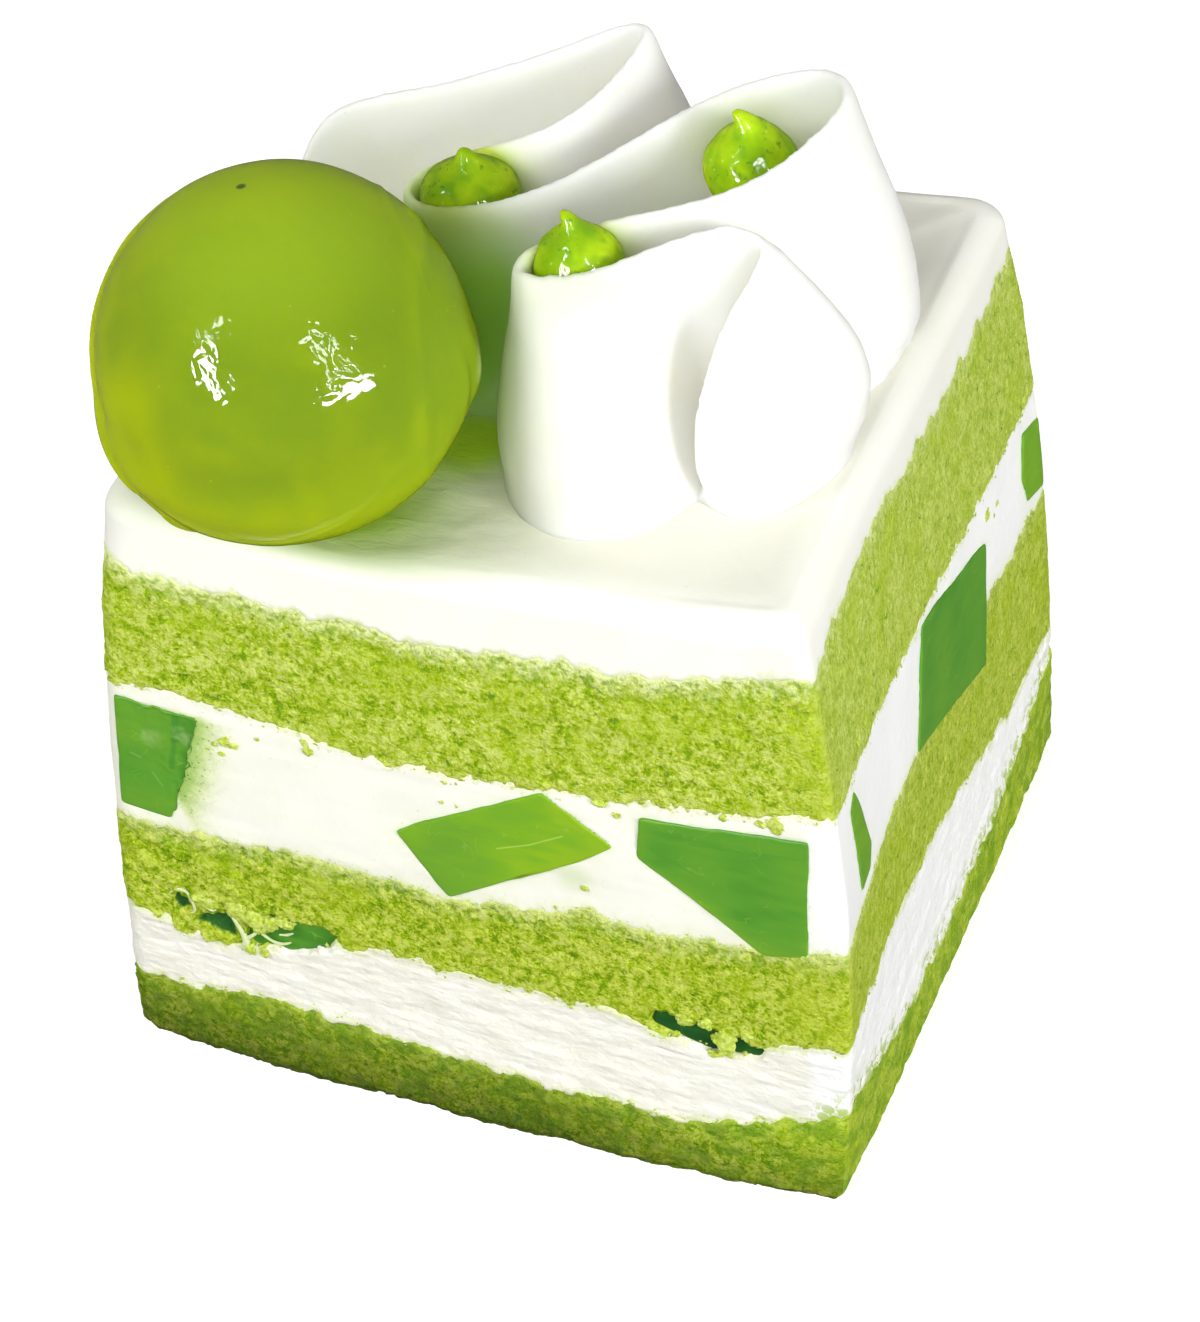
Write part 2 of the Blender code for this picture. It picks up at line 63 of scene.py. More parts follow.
LAYERS = (
    ("sponge_bottom", (7.4, 8.2, 8.0, 7.0, 6.6, 7.2, 11.4), (11.4, 6.8, 5.6, 7.2, 11.4)),
    ("cream_lower", (16.6, 14.4, 17.8, 17.5, 17.6, 16.3, 20.0), (20.0, 20.6, 18.8, 15.4, 14.4)),
    ("sponge_middle", (26.8, 27.2, 27.3, 26.4, 28.4, 28.5, 30.2), (30.2, 32.0, 31.8, 31.4, 30.6)),
    ("cream_middle", (42.9, 42.7, 41.2, 40.8, 42.0, 43.5, 44.8), (44.8, 44.4, 43.2, 42.6, 42.8)),
    ("sponge_top", (55.8, 55.2, 54.7, 54.6, 55.5, 56.7, 59.2), (59.2, 60.0, 58.9, 58.3, 59.2)),
    ("cream_top", (62.0, 61.2, 60.9, 61.3, 62.0, 62.6, 63.7), (63.7, 64.2, 63.9, 63.5, 63.2)),
)

JELLIES = (
    ("jelly_front_left", "front", ((-30.9, 28.8), (-26.3, 28.2), (-24.2, 33.6), (-22.6, 40.6), (-29.9, 41.3)), 12.0, (1.0, 0.4)),
    ("jelly_front_middle", "front", ((-1.5, 26.6), (10.4, 34.3), (13.6, 37.0), (7.6, 41.2), (-3.1, 34.8), (-5.6, 33.0)), 11.0, (0.5, 1.2)),
    ("jelly_front_right", "front", ((15.4, 36.5), (20.1, 33.1), (25.9, 28.6), (29.7, 29.4), (29.9, 42.4), (15.7, 40.9)), 7.5, (-0.6, -0.2)),
    ("jelly_right_near", "right", ((-24.2, 32.8), (-21.6, 32.9), (-20.7, 35.0), (-22.6, 41.4), (-23.6, 43.6), (-25.2, 42.6)), 2.4, (0.6, 0.0)),
    ("jelly_right_middle", "right", ((-7.2, 32.0), (10.9, 25.6), (13.0, 37.8), (2.8, 41.2), (-3.7, 43.0)), 11.0, (0.8, 0.6)),
    ("jelly_right_far", "right", ((23.8, 33.2), (28.0, 31.8), (28.4, 35.2), (28.2, 39.4), (24.0, 40.6), (22.8, 36.6)), 6.0, (-0.6, 0.0)),
    ("jelly_low_left", "front", ((-21.0, 14.6), (-17.0, 14.7), (-13.4, 16.2), (-12.0, 18.4), (-15.4, 19.2), (-21.2, 18.2)), 8.0, (0.5, 0.2)),
    ("jelly_low_right", "front", ((15.7, 17.0), (20.9, 15.2), (25.7, 16.0), (25.8, 17.4), (20.8, 18.5), (16.0, 19.2)), 8.0, (0.4, 0.2)),
)

BALL_CENTRE = np.array((-14.1, -21.0, 75.0))
BALL_RADIUS = 14.6

RIBBON_TURN = 23.6
TOP_LEVEL = 62.4
SHEETS = (
    ("A", (-21.8, -14.6, 13.8), (9.6, -14.0, 21.8), -0.6, -0.6, (-18.6, -12.4), (10.5, -12.0), (-2.0, -1.5), (2.0, -1.5)),
    ("B", (-12.5, -4.8, 14.0), (9.2, -12.4, 21.8), 4.2, -1.5, (-9.5, -4.0), (10.8, -9.0), (-1.0, 0.0), (2.2, -0.4)),
    ("C", (-12.5, -1.8, 14.0), (23.6, -1.4, 24.8), 1.6, 2.6, (-9.0, 1.0), (23.6, 0.4), (-1.0, 0.0), (3.0, -0.6)),
    ("D", (-3.8, 12.4, 19.4), (24.8, 1.0, 24.8), 4.6, -1.8, (-1.2, 11.5), (23.8, 3.4), (-1.0, 0.0), (3.0, 0.8)),
    ("E", (-4.0, 14.6, 19.4), (15.2, 14.4, 22.6), 1.2, 0.9, (-0.2, 17.6), (15.9, 13.2), (-2.6, 1.0), (4.2, 0.8)),
)
FRONT_SWELL = 2.6
HOLLOW = 1.7
RISE_TO_TAIL = 1.5
START_ROUND = 0.16
TAIL = (
    ((15.8, 16.2, 22.4), (15.9, 13.3), (5.8, 1.6)),
    ((13.4, 17.8, 19.4), (15.6, 14.3), (6.1, 2.6)),
    ((10.9, 19.4, 15.4), (14.8, 15.5), (5.2, 3.2)),
    ((9.2, 20.9, 10.8), (13.6, 16.8), (3.4, 3.0)),
    ((8.7, 21.6, 6.6), (12.2, 18.0), (1.9, 2.2)),
    ((9.0, 21.6, 3.2), (10.9, 19.0), (0.7, 1.0)),
)
LIP = 1.15               # thinner at the lip than the solid
SHEET_FOOT = 8.6
RIBBON_PASSES = 16

DROPS = (
    ("gel_drop_back", (-7.0, -0.1, 76.1), 8.1, 6.6, (-0.3, 0.1)),
    ("gel_drop_right", (15.4, 3.6, 81.0), 7.6, 7.9, (-1.0, -0.3)),
    ("gel_drop_front", (6.5, -10.9, 80.3), 7.0, 7.6, (-0.9, 0.0)),
)

# ----------------------------------------------------------------------- noise


def hashed(ix, iy, iz, seed):
    h = (ix * 374761393 + iy * 668265263 + iz * 2246822519 + seed * 3266489917) & 0xFFFFFFFF
    h = ((h ^ (h >> 13)) * 1274126177) & 0xFFFFFFFF
    h = ((h ^ (h >> 16)) * 2246822519) & 0xFFFFFFFF
    h = h ^ (h >> 13)
    return (h & 0xFFFFFF) / float(0x1000000)


def noise(p, seed=0):
    """Smooth noise at points p (n, 3), one lattice cell per unit, from -1 to 1."""
    base = np.floor(p).astype(np.int64)
    f = p - base
    f = f * f * f * (f * (f * 6.0 - 15.0) + 10.0)
    total = np.zeros(len(p))
    for dx in (0, 1):
        wx = f[:, 0] if dx else 1.0 - f[:, 0]
        for dy in (0, 1):
            wy = f[:, 1] if dy else 1.0 - f[:, 1]
            for dz in (0, 1):
                wz = f[:, 2] if dz else 1.0 - f[:, 2]
                total += wx * wy * wz * hashed(base[:, 0] + dx, base[:, 1] + dy, base[:, 2] + dz, seed)
    return total * 2.0 - 1.0


def fractal(p, octaves=3, gain=0.5, seed=0):
    total = np.zeros(len(p))
    size = 1.0
    for i in range(octaves):
        total += size * noise(p * (2.03 ** i) + 7.1 * i, seed + 13 * i)
        size *= gain
    return total


def cells(p, seed=0):
    """Distance to the nearest scattered point and that point's own number."""
    base = np.floor(p).astype(np.int64)
    best = np.full(len(p), 9.0)
    own = np.zeros(len(p))
    for dx in (-1, 0, 1):
        for dy in (-1, 0, 1):
            for dz in (-1, 0, 1):
                cx, cy, cz = base[:, 0] + dx, base[:, 1] + dy, base[:, 2] + dz
                q = np.stack((cx + hashed(cx, cy, cz, seed), cy + hashed(cx, cy, cz, seed + 1),
                              cz + hashed(cx, cy, cz, seed + 2)), axis=1)
                d = np.sqrt(((q - p) ** 2).sum(axis=1))
                near = d < best
                best = np.where(near, d, best)
                own = np.where(near, hashed(cx, cy, cz, seed + 3), own)
    return best, own


def smooth(x):
    x = np.clip(x, 0.0, 1.0)
    return x * x * (3.0 - 2.0 * x)


# ---------------------------------------------------------------- slice's form


def through(values, t):
    """Smooth curve through evenly spaced stations, t from 0 to 1."""
    v = np.asarray(values, float)
    n = len(v) - 1
    s = np.clip(np.asarray(t, float), 0.0, 1.0) * n
    i = np.minimum(s.astype(int), n - 1)
    f = s - i
    p1, p2 = v[i], v[i + 1]
    p0 = np.where(i > 0, v[np.maximum(i - 1, 0)], p1)
    p3 = np.where(i + 2 <= n, v[np.minimum(i + 2, n)], p2)
    return 0.5 * (2 * p1 + (p2 - p0) * f + (2 * p0 - 5 * p1 + 4 * p2 - p3) * f * f
                  + (3 * p1 - p0 - 3 * p2 + p3) * f ** 3)


def level(k, u, v):
    if k < 0:
        return np.zeros_like(u)
    _, front, right = LAYERS[k]
    share = FAR_FADE + (1.0 - FAR_FADE) * (u + 1.0) / 2.0
    return through(front, (u + 1.0) / 2.0) + (through(right, (v + 1.0) / 2.0) - right[0]) * share


def plan(u, v, z, inset=0.0):
    u, v, z = np.broadcast_arrays(np.asarray(u, float), np.asarray(v, float), np.asarray(z, float))
    r = np.zeros_like(u)
    for (su, sv), radius in CORNER_RADIUS.items():
        mine = ((u > 0) == (su > 0)) & ((v > 0) == (sv > 0))
        r = np.where(mine, radius, r)
    r = r * (0.55 + 0.45 * smooth((z - 50.0) / 10.0)) / 30.0
    a = np.minimum(1.0, (np.abs(u) - (1.0 - r)) / r)
    b = np.minimum(1.0, (np.abs(v) - (1.0 - r)) / r)
    corner = (a > 0.0) & (b > 0.0)
    ra = a * np.sqrt(np.maximum(0.0, 1.0 - 0.5 * b * b))
    rb = b * np.sqrt(np.maximum(0.0, 1.0 - 0.5 * a * a))
    u = np.where(corner, np.sign(u) * (1.0 - r + r * ra), u)
    v = np.where(corner, np.sign(v) * (1.0 - r + r * rb), v)
    shrink = 1.0 - np.asarray(inset) / 30.0
    u, v = u * shrink, v * shrink
    f = z / SLICE_HEIGHT
    x = np.zeros_like(u)
    y = np.zeros_like(u)
    for (su, sv), foot in FOOT_CORNERS.items():
        w = (1.0 + su * u) * (1.0 + sv * v) / 4.0
        top = TOP_CORNERS[(su, sv)]
        x += w * (foot[0] * (1.0 - f) + top[0] * f)
        y += w * (foot[1] * (1.0 - f) + top[1] * f)
    swell = np.sin(np.pi * np.clip(f, 0.0, 1.0)) ** 0.9
    corner = BULGE_NEAR_CORNER * ((1.0 - v) / 2.0) ** 4 + BULGE_FAR_CORNER * ((1.0 + v) / 2.0) ** 3
    x += np.where(u > 0.0, (BULGE_RIGHT + corner) * swell * u, BULGE_LEFT * swell * u)
    y += BULGE_FRONT * swell * v
    spread = np.maximum(0.0, 1.0 - z / 16.0) ** 1.5
    x += FOOT_BOW_RIGHT * spread * u * (1.0 - v ** 4)
    y += FOOT_BOW_FRONT * spread * v * (1.0 - u ** 4)
    return x, y


def find_plan(x, y, z):
    u, v = x / 31.0, y / 29.0
    for _ in range(12):
        px, py = plan(u, v, z)
        u = np.clip(u + (x - px) / 31.0, -1.0, 1.0)
        v = np.clip(v + (y - py) / 29.0, -1.0, 1.0)
    return u, v


def top_height(x, y):
    u, v = find_plan(x, y, 62.0)
    return level(5, u, v)


# -------------------------------------------------------------- mesh and pieces


def make_mesh(name, verts, faces, attributes=None):
    """verts in mm as (n, 3); faces as one array of quads or a list of arrays
    of quads and triangles."""
    mesh = bpy.data.meshes.new(name)
    groups = faces if isinstance(faces, list) else [faces]
    mesh.vertices.add(len(verts))
    mesh.vertices.foreach_set("co", (np.asarray(verts, np.float64) * MM).astype(np.float32).ravel())
    total = sum(g.size for g in groups)
    count = sum(len(g) for g in groups)
    mesh.loops.add(total)
    mesh.polygons.add(count)
    mesh.loops.foreach_set("vertex_index", np.concatenate([g.ravel() for g in groups]).astype(np.int32))
    sizes = np.concatenate([np.full(len(g), g.shape[1]) for g in groups])
    starts = np.concatenate(([0], np.cumsum(sizes)[:-1]))
    mesh.polygons.foreach_set("loop_start", starts.astype(np.int32))
    mesh.update(calc_edges=True)
    for key, values in (attributes or {}).items():
        layer = mesh.attributes.new(key, "FLOAT", "POINT")
        layer.data.foreach_set("value", np.asarray(values, np.float32))
    mesh.shade_smooth()
    return mesh


def place(name, mesh, material, nodes):
    obj = bpy.data.objects.new(name, mesh)
    bpy.context.scene.collection.objects.link(obj)
    mesh.materials.clear()
    mesh.materials.append(material)
    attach(obj, "root")
    if nodes:
        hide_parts(*nodes)
    return obj


def ring_loop(front_step, back_step):
    """Plan positions once round the slice, anticlockwise from the front left."""
    nf, nb = int(61.0 / front_step), int(61.0 / back_step)
    a = np.linspace(-1.0, 1.0, nf, endpoint=False)
    c = np.linspace(-1.0, 1.0, nb, endpoint=False)
    u = np.concatenate((a, np.ones(nf), -c, -np.ones(nb)))
    v = np.concatenate((-np.ones(nf), a, np.ones(nb), -c))
    return u, v


def wall_normals(grid):
    """Outward normals of a closed wall, grid (rows, columns, 3)."""
    along = np.roll(grid, -1, axis=1) - np.roll(grid, 1, axis=1)
    up = np.gradient(grid, axis=0)
    n = np.cross(along, up)
    return n / np.maximum(np.linalg.norm(n, axis=2, keepdims=True), 1e-9)


def wall_faces(rows, columns):
    r, c = np.meshgrid(np.arange(rows - 1), np.arange(columns), indexing="ij")
    n = (c + 1) % columns
    return np.stack((r * columns + c, r * columns + n, (r + 1) * columns + n, (r + 1) * columns + c), axis=2).reshape(-1, 4)


def close_wall(grid, attributes, rings=(1.2, 3.5, 9.0)):
    """Adds a bottom and a top to a wall, each of shrinking rings and a fan."""
    rows, columns, _ = grid.shape
    verts = [grid.reshape(-1, 3)]
    faces = [wall_faces(rows, columns)]
    tris = []
    extra = {k: [a.ravel()] for k, a in attributes.items()}
    offset = rows * columns
    cols = np.arange(columns)
    nxt = (cols + 1) % columns
    for row, flip in ((0, True), (rows - 1, False)):
        edge = grid[row]
        centre = edge.mean(axis=0)
        previous = row * columns
        span = np.linalg.norm(edge[:, :2] - centre[:2], axis=1)[:, None]
        for d in rings:
            ring = edge + (centre - edge) * (d / span)
            ring[:, 2] = edge[:, 2] * (1.0 - d / 30.0) + centre[2] * (d / 30.0)
            verts.append(ring)
            quad = np.stack((previous + cols, previous + nxt, offset + nxt, offset + cols), axis=1)
            faces.append(quad[:, ::-1] if flip else quad)
            for k in extra:
                extra[k].append(attributes[k][row])
            previous = offset
            offset += columns
        verts.append(centre[None, :])
        for k in extra:
            extra[k].append(np.array([attributes[k][row].mean()]))
        tri = np.stack((previous + cols, previous + nxt, np.full(columns, offset)), axis=1)
        tris.append(tri[:, ::-1] if flip else tri)
        offset += 1
    return (np.concatenate(verts), [np.concatenate(faces), np.concatenate(tris)],
            {k: np.concatenate(a) for k, a in extra.items()})


# ------------------------------------------------------- borders between layers


def border_noise(x, y, k):
    """How far the border above layer k wanders up and down along the walls."""
    p = np.stack((x, y, np.full_like(x, 31.0 * k)), axis=-1).reshape(-1, 3)
    amount = (0.46, 0.62, 0.50, 0.50, 0.66, 0.0)[k]
    broad, middle, teeth = noise(p / 2.7, 40 + k), noise(p / 1.25, 50 + k), noise(p / 0.62, 60 + k)
    if k in (1, 3):       # the crumb hangs in rounded lumps over the cream below
        wave = 0.55 - 1.9 * np.abs(broad) + 0.45 * middle + 0.30 * teeth
    else:
        wave = 0.66 * broad + 0.62 * middle + 0.34 * teeth
    return (amount * wave).reshape(x.shape)


def border_fine(x, y, z):
    p = np.stack((x, y, z), axis=-1).reshape(-1, 3)
    f = 0.24 * noise(p / 0.85, 71) + 0.17 * noise(p / 0.42, 72)
    return f.reshape(x.shape)


def layer_wall(k, front_step, back_step, rows, lap=1.4):
    """Undisturbed wall of layer k, a little taller than the layer itself, with
    the signed distance of each point to the nearer border."""
    u, v = ring_loop(front_step, back_step)
    low, high = level(k - 1, u, v), level(k, u, v)
    bottom = low - lap if k > 0 else low
    top = high + lap
    t = np.linspace(0.0, 1.0, rows)[:, None]
    z = bottom + (top - bottom) * t
    U, V = np.broadcast_to(u, z.shape), np.broadcast_to(v, z.shape)
    x, y = plan(U, V, z)
    fine = border_fine(x, y, z)
    above = z - (low + border_noise(x, y, k - 1)) + fine if k > 0 else np.full_like(z, 9.0)
    below = (high + border_noise(x, y, k)) - z - fine
    return U, V, x, y, z, above, below


def sponge_relief(p, seed, coarse):
    """Relief of torn crumb at points p: height in mm and how deep in a pore."""
    q = p + 0.35 * np.stack((noise(p / 1.1, seed + 5), noise(p / 1.1, seed + 6), noise(p / 1.1, seed + 7)), axis=1)
    big, big_id = cells(q / 1.05, seed)
    small, small_id = cells(q / 0.55 + 3.3, seed + 20)
    patch = smooth(0.5 + 1.6 * noise(p / 2.1, seed + 40))
    pore = smooth((0.10 + 0.42 * big_id ** 2 - big) / 0.26) * (0.45 + 0.55 * patch)
    pinhole = smooth((0.12 + 0.38 * small_id - small) / 0.24) * (0.35 + 0.65 * patch)
    lumps = fractal(p / 2.4, 3, 0.55, seed + 30)
    grain = noise(p / 0.38, seed + 33)
    height = 0.09 * lumps + 0.035 * grain - 0.30 * pore - 0.12 * pinhole
    height += coarse * (0.34 * (0.45 - big) + 0.10 * lumps)
    depth = np.clip(0.75 * pore + 0.45 * pinhole, 0.0, 1.0)
    return height, depth, patch


# two more hollows beside the pocket at the lower left, wet with jelly; their dark green is part jelly, part painted
# shade of the deep gap
WET_HOLLOWS = (((-27.6, 17.7), (-27.0, 18.8), (-26.1, 18.6), (-26.0, 17.5), (-27.0, 16.8)),
               ((-26.9, 16.1), (-24.6, 17.1), (-23.3, 18.2), (-22.2, 18.2), (-21.9, 15.3), (-23.4, 15.4), (-25.4, 15.7)))


def wet_hollow(x, y, z, V):
    p = np.stack((x, y, z), axis=-1).reshape(-1, 3)
    rag = (0.20 * noise(p / 0.8, 94) + 0.12 * noise(p / 0.4, 95)).reshape(x.shape)
    wet = np.zeros_like(x)
    for outline in WET_HOLLOWS:
        d = inside_outline(x, z, outline, 0.0) + rag
        wet = np.maximum(wet, np.where(V < -0.999, smooth((d + 0.10) / 0.35), 0.0))
    return wet


def low_pocket(x, y, z, U, V):
    """How far open the two thin pockets under the middle sponge are."""
    p = np.stack((x, y, z), axis=-1).reshape(-1, 3)
    rag = (0.34 * noise(p / 0.95, 91) + 0.22 * noise(p / 0.45, 92)).reshape(x.shape)
    opened = np.zeros_like(x)
    for name, face, outline, _, _ in JELLIES:
        if name in ("jelly_low_left", "jelly_low_right"):
            d = inside_outline(x, z, outline, 0.0) + rag
            opened = np.maximum(opened, np.where(V < -0.999, smooth((d - 0.05) / 0.30), 0.0))
    return opened


def build_sponge(k, material, front_step, back_step, rows):
    name = LAYERS[k][0]
    U, V, x, y, z, above, below = layer_wall(k, front_step, back_step, rows)
    wall = np.stack((x, y, z), axis=2)
    normals = wall_normals(wall)
    coarse = np.zeros_like(x)
    if k == 2:
        coarse = smooth((4.0 - x) / 26.0) * np.where(V < -0.999, 1.0, 0.0)
    if k == 0:
        coarse = np.where(V < -0.999, 0.75, 0.35)
    height, pit, patch = sponge_relief(wall.reshape(-1, 3), 100 + 10 * k, coarse.ravel())
    height, pit, patch = (a.reshape(x.shape) for a in (height, pit, patch))
    inside = np.minimum(above, below)
    drop = 0.55 * (1.0 - smooth((inside + 0.55) / 0.55))
    foot = 0.6 * (1.0 - smooth(z / 1.2)) if k == 0 else 0.0
    calm = np.where(U > 0.999, 0.75, 1.0)      # the right face was cut cleaner
    offset = height * calm - drop - foot - 0.02
    wet = np.zeros_like(x)
    if k in (0, 2):
        offset = offset - 0.9 * low_pocket(x, y, z, U, V)
    if k == 2:
        wet = wet_hollow(x, y, z, V)
        offset = offset - 0.7 * wet
    wall = wall + normals * offset[:, :, None]
    wall[:, :, 2] = np.maximum(wall[:, :, 2], 0.0)
    side = smooth((U - 0.985) / 0.015) * np.where(V < -0.999, 0.0, 1.0)
    attributes = {"pit": pit, "above": above, "below": below, "patch": patch, "side": side, "coarse": coarse, "wet": wet}
    verts, faces, attrs = close_wall(wall, attributes)
    return place(name + "_crumb", make_mesh(name, verts, faces, attrs), material, [name])


# ------------------------------------------------------------------------ cream


def inside_outline(along, z, outline, margin):
    """How far inside a convex outline a point lies, less the margin, in mm."""
    pts = np.array(outline)
    area = 0.5 * np.sum(pts[:, 0] * np.roll(pts[:, 1], -1) - np.roll(pts[:, 0], -1) * pts[:, 1])
    if area < 0:
        pts = pts[::-1]
    best = np.full(along.shape, 99.0)
    for a, b in zip(pts, np.roll(pts, -1, axis=0)):
        d = b - a
        n = np.array((-d[1], d[0])) / np.linalg.norm(d)
        best = np.minimum(best, (along - a[0]) * n[0] + (z - a[1]) * n[1])
    return best - margin


def build_cream(k, material, front_step, back_step, rows):
    name = LAYERS[k][0]
    U, V, x, y, z, above, below = layer_wall(k, front_step, back_step, rows)
    wall = np.stack((x, y, z), axis=2)
    normals = wall_normals(wall)
    p = wall.reshape(-1, 3)
    inside = np.minimum(above, below)
    bubbles = np.zeros_like(x)
    if k == 1:      # whipped and dragged by the knife, with a frothy lower edge
        drag = noise(p / np.array((2.6, 2.6, 0.42)), 210) + 0.7 * noise(p / np.array((1.5, 1.5, 0.30)), 211)
        near_low = 1.0 - smooth((above - 0.5) / 1.5)
        zone = np.where(V < -0.999, 0.25 + 0.75 * np.exp(-((x + 1.5) / 4.0) ** 2), 0.0)
        zone = np.where(U > 0.999, 0.85, zone)
        froth, froth_id = cells(p / 0.85, 215)
        bubbles = smooth((0.12 + 0.34 * froth_id.reshape(x.shape) ** 2 - froth.reshape(x.shape)) / 0.16) * near_low * zone
        lumps = noise(p / np.array((3.4, 3.4, 1.7)), 213) + 0.6 * noise(p / np.array((1.7, 1.7, 0.9)), 214)
        relief = 0.060 * drag + 0.035 * noise(p / 0.5, 212) + 0.10 * lumps
        relief = relief.reshape(x.shape) - 0.38 * bubbles
    else:           # smooth, with long shallow drag marks
        drag = noise(p / np.array((5.0, 5.0, 0.8)), 220)
        relief = 0.030 * drag + 0.10 * noise(p / 5.0, 221) + 0.02 * noise(p / 0.6, 222)
        relief = relief.reshape(x.shape)
    drop = 0.55 * (1.0 - smooth((inside + 0.55) / 0.55))
    offset = relief - drop - 0.09
    pocket = low_pocket(x, y, z, U, V) if k == 1 else np.zeros_like(x)
    wet = wet_hollow(x, y, z, V) if k == 1 else np.zeros_like(x)
    offset = offset - 0.7 * wet
    smear = np.zeros_like(x)
    fray = np.zeros_like(x)
    for piece, face, outline, _, _ in JELLIES:
        if piece.startswith("jelly_low"):
            continue
        if face == "front":
            along, on = x, V < -0.999
        else:
            along, on = y, U > 0.999
        d = inside_outline(along, z, outline, 0.0)
        pocket = np.maximum(pocket, np.where(on, smooth((d - 0.25) / 0.35), 0.0))
        smear = np.maximum(smear, np.where(on, np.exp(-np.maximum(-d, 0.0) / 0.60), 0.0))
        if piece == "jelly_front_left":
            right = smooth((x + 26.5 + 0.28 * (z - 29.0) - 0.9) / 1.5)
            fray = np.where(on, np.exp(-np.maximum(-d, 0.0) / 1.8) * right * smooth((41.5 - z) / 1.6), 0.0)
    offset = offset - 1.3 * pocket
    wall = wall + normals * offset[:, :, None]
    attributes = {"above": above, "below": below, "smear": smear, "fray": fray, "bubbles": bubbles, "wet": wet}
    verts, faces, attrs = close_wall(wall, attributes)
    return place(name + "_filling", make_mesh(name, verts, faces, attrs), material, [name])


def build_cream_top(material):
    """Flat top layer: a wall with a round rim that runs on into the top."""
    k = 5
    name = LAYERS[k][0]
    u, v = ring_loop(0.36, 0.50)
    low, high = level(k - 1, u, v), level(k, u, v)
    grids, insets = [], []
    wall_rows, rim_rows = 20, 12
    for i in range(wall_rows):
        t = i / (wall_rows - 1.0)
        grids.append(low - 1.4 + (high - RIM_RADIUS - low + 1.4) * t)
        insets.append(np.zeros_like(u))
    for i in range(1, rim_rows + 1):
        a = math.pi / 2.0 * i / rim_rows
        grids.append(high - RIM_RADIUS * (1.0 - math.sin(a)))
        insets.append(np.full_like(u, RIM_RADIUS * (1.0 - math.cos(a))))
    depths = list(np.linspace(RIM_RADIUS, 29.4, 68)[1:])
    for d in depths:
        grids.append(None)
        insets.append(np.full_like(u, d))
    rows = []
    for z, inset in zip(grids, insets):
        if z is None:
            shrink = 1.0 - inset / 30.0
            z = level(k, u * shrink, v * shrink)
            z = z * (1.0 - smooth((2.6 - inset) / 0.8)) + high * smooth((2.6 - inset) / 0.8)
        x, y = plan(u, v, z, inset)
        rows.append(np.stack((x, y, z), axis=1))
    grid = np.stack(rows)
    normals = wall_normals(grid)
    p = grid.reshape(-1, 3)
    fine = border_fine(grid[:, :, 0], grid[:, :, 1], grid[:, :, 2])
    above = grid[:, :, 2] - (low + border_noise(grid[:, :, 0], grid[:, :, 1], k - 1)) + fine
    above[wall_rows + rim_rows - 1:] = 9.0
    # knife marks run across the top, with finer ripples beside the ball
    ball = np.hypot(p[:, 0] - BALL_CENTRE[0], p[:, 1] - BALL_CENTRE[1])
    ripple = noise(p / np.array((2.6, 1.05, 3.0)) + 0.5 * noise(p / 3.1, 300)[:, None], 301)
    broad = 0.15 * noise(p / 9.0, 302) + 0.05 * noise(p / 3.0, 303)
    near = np.exp(-np.maximum(0.0, ball - 10.0) / 8.0) * smooth((-p[:, 1] + 2.0) / 14.0)
    inner = np.concatenate([np.full(len(u), i) for i in insets])
    flat = smooth((inner - 0.8) / 1.2)
    relief = broad * (0.4 + 0.6 * flat) + (0.010 + 0.085 * near) * ripple * flat
    relief = relief.reshape(above.shape)
    drop = 0.55 * (1.0 - smooth((above + 0.55) / 0.55))
    grid = grid + normals * (relief - drop - 0.02)[:, :, None]
    rows_n, columns = grid.shape[:2]
    verts = [grid.reshape(-1, 3)]
    faces = [wall_faces(rows_n, columns)]
    cols = np.arange(columns)
    nxt = (cols + 1) % columns
    offset = rows_n * columns
    verts.append(grid[-1].mean(axis=0)[None, :])
    last = (rows_n - 1) * columns
    tris = [np.stack((last + cols, last + nxt, np.full(columns, offset)), axis=1)]
    offset += 1
    # how far each point lies on the flat top, which carries painted shade
    shaded_top_part = np.concatenate([np.full(len(u), smooth((i - 1.6) / 3.0)) for i in insets])
    extra = {"above": [above.ravel(), [9.0]], "ripple": [near * flat, [0.0]], "flat": [shaded_top_part, [1.0]]}
    edge = grid[0]
    centre = edge.mean(axis=0)
    previous = 0
    span = np.linalg.norm(edge[:, :2] - centre[:2], axis=1)[:, None]
    for d in (1.2, 4.0, 10.0):
        ring = edge + (centre - edge) * (d / span)
        verts.append(ring)
        faces.append(np.stack((offset + cols, offset + nxt, previous + nxt, previous + cols), axis=1))
        for key in extra:
            extra[key].append(np.full(columns, -1.0))
        previous = offset
        offset += columns
    verts.append(centre[None, :])
    for key in extra:
        extra[key].append([-1.0])
    tris.append(np.stack((previous + nxt, previous + cols, np.full(columns, offset)), axis=1))
    attrs = {key: np.concatenate([np.ravel(a) for a in values]) for key, values in extra.items()}
    mesh = make_mesh(name, np.concatenate(verts), [np.concatenate(faces), np.concatenate(tris)], attrs)
    return place("cream_top_layer", mesh, material, [name])


# ------------------------------------------------------------------------ jelly


def on_face(face, along, z):
    """World point on the slice's wall from its distance along and its height."""
    s = along / 31.0
    fixed = -np.ones_like(s) if face == "front" else np.ones_like(s)
    for _ in range(14):
        if face == "front":
            x, y = plan(s, fixed, z)
            s = np.clip(s + (along - x) / 31.0, -1.0, 1.0)
        else:
            x, y = plan(fixed, s, z)
            s = np.clip(s + (along - y) / 29.0, -1.0, 1.0)
    return np.stack((x, y, z), axis=-1)


# how yellow and light each block of jelly is, from 0 for deep green
JELLY_TONE = {"jelly_front_left": 0.62, "jelly_front_middle": 0.88, "jelly_front_right": 0.56,
              "jelly_right_near": 0.82, "jelly_right_middle": 0.58, "jelly_right_far": 0.86,
              "jelly_low_left": 0.40, "jelly_low_right": 0.04}


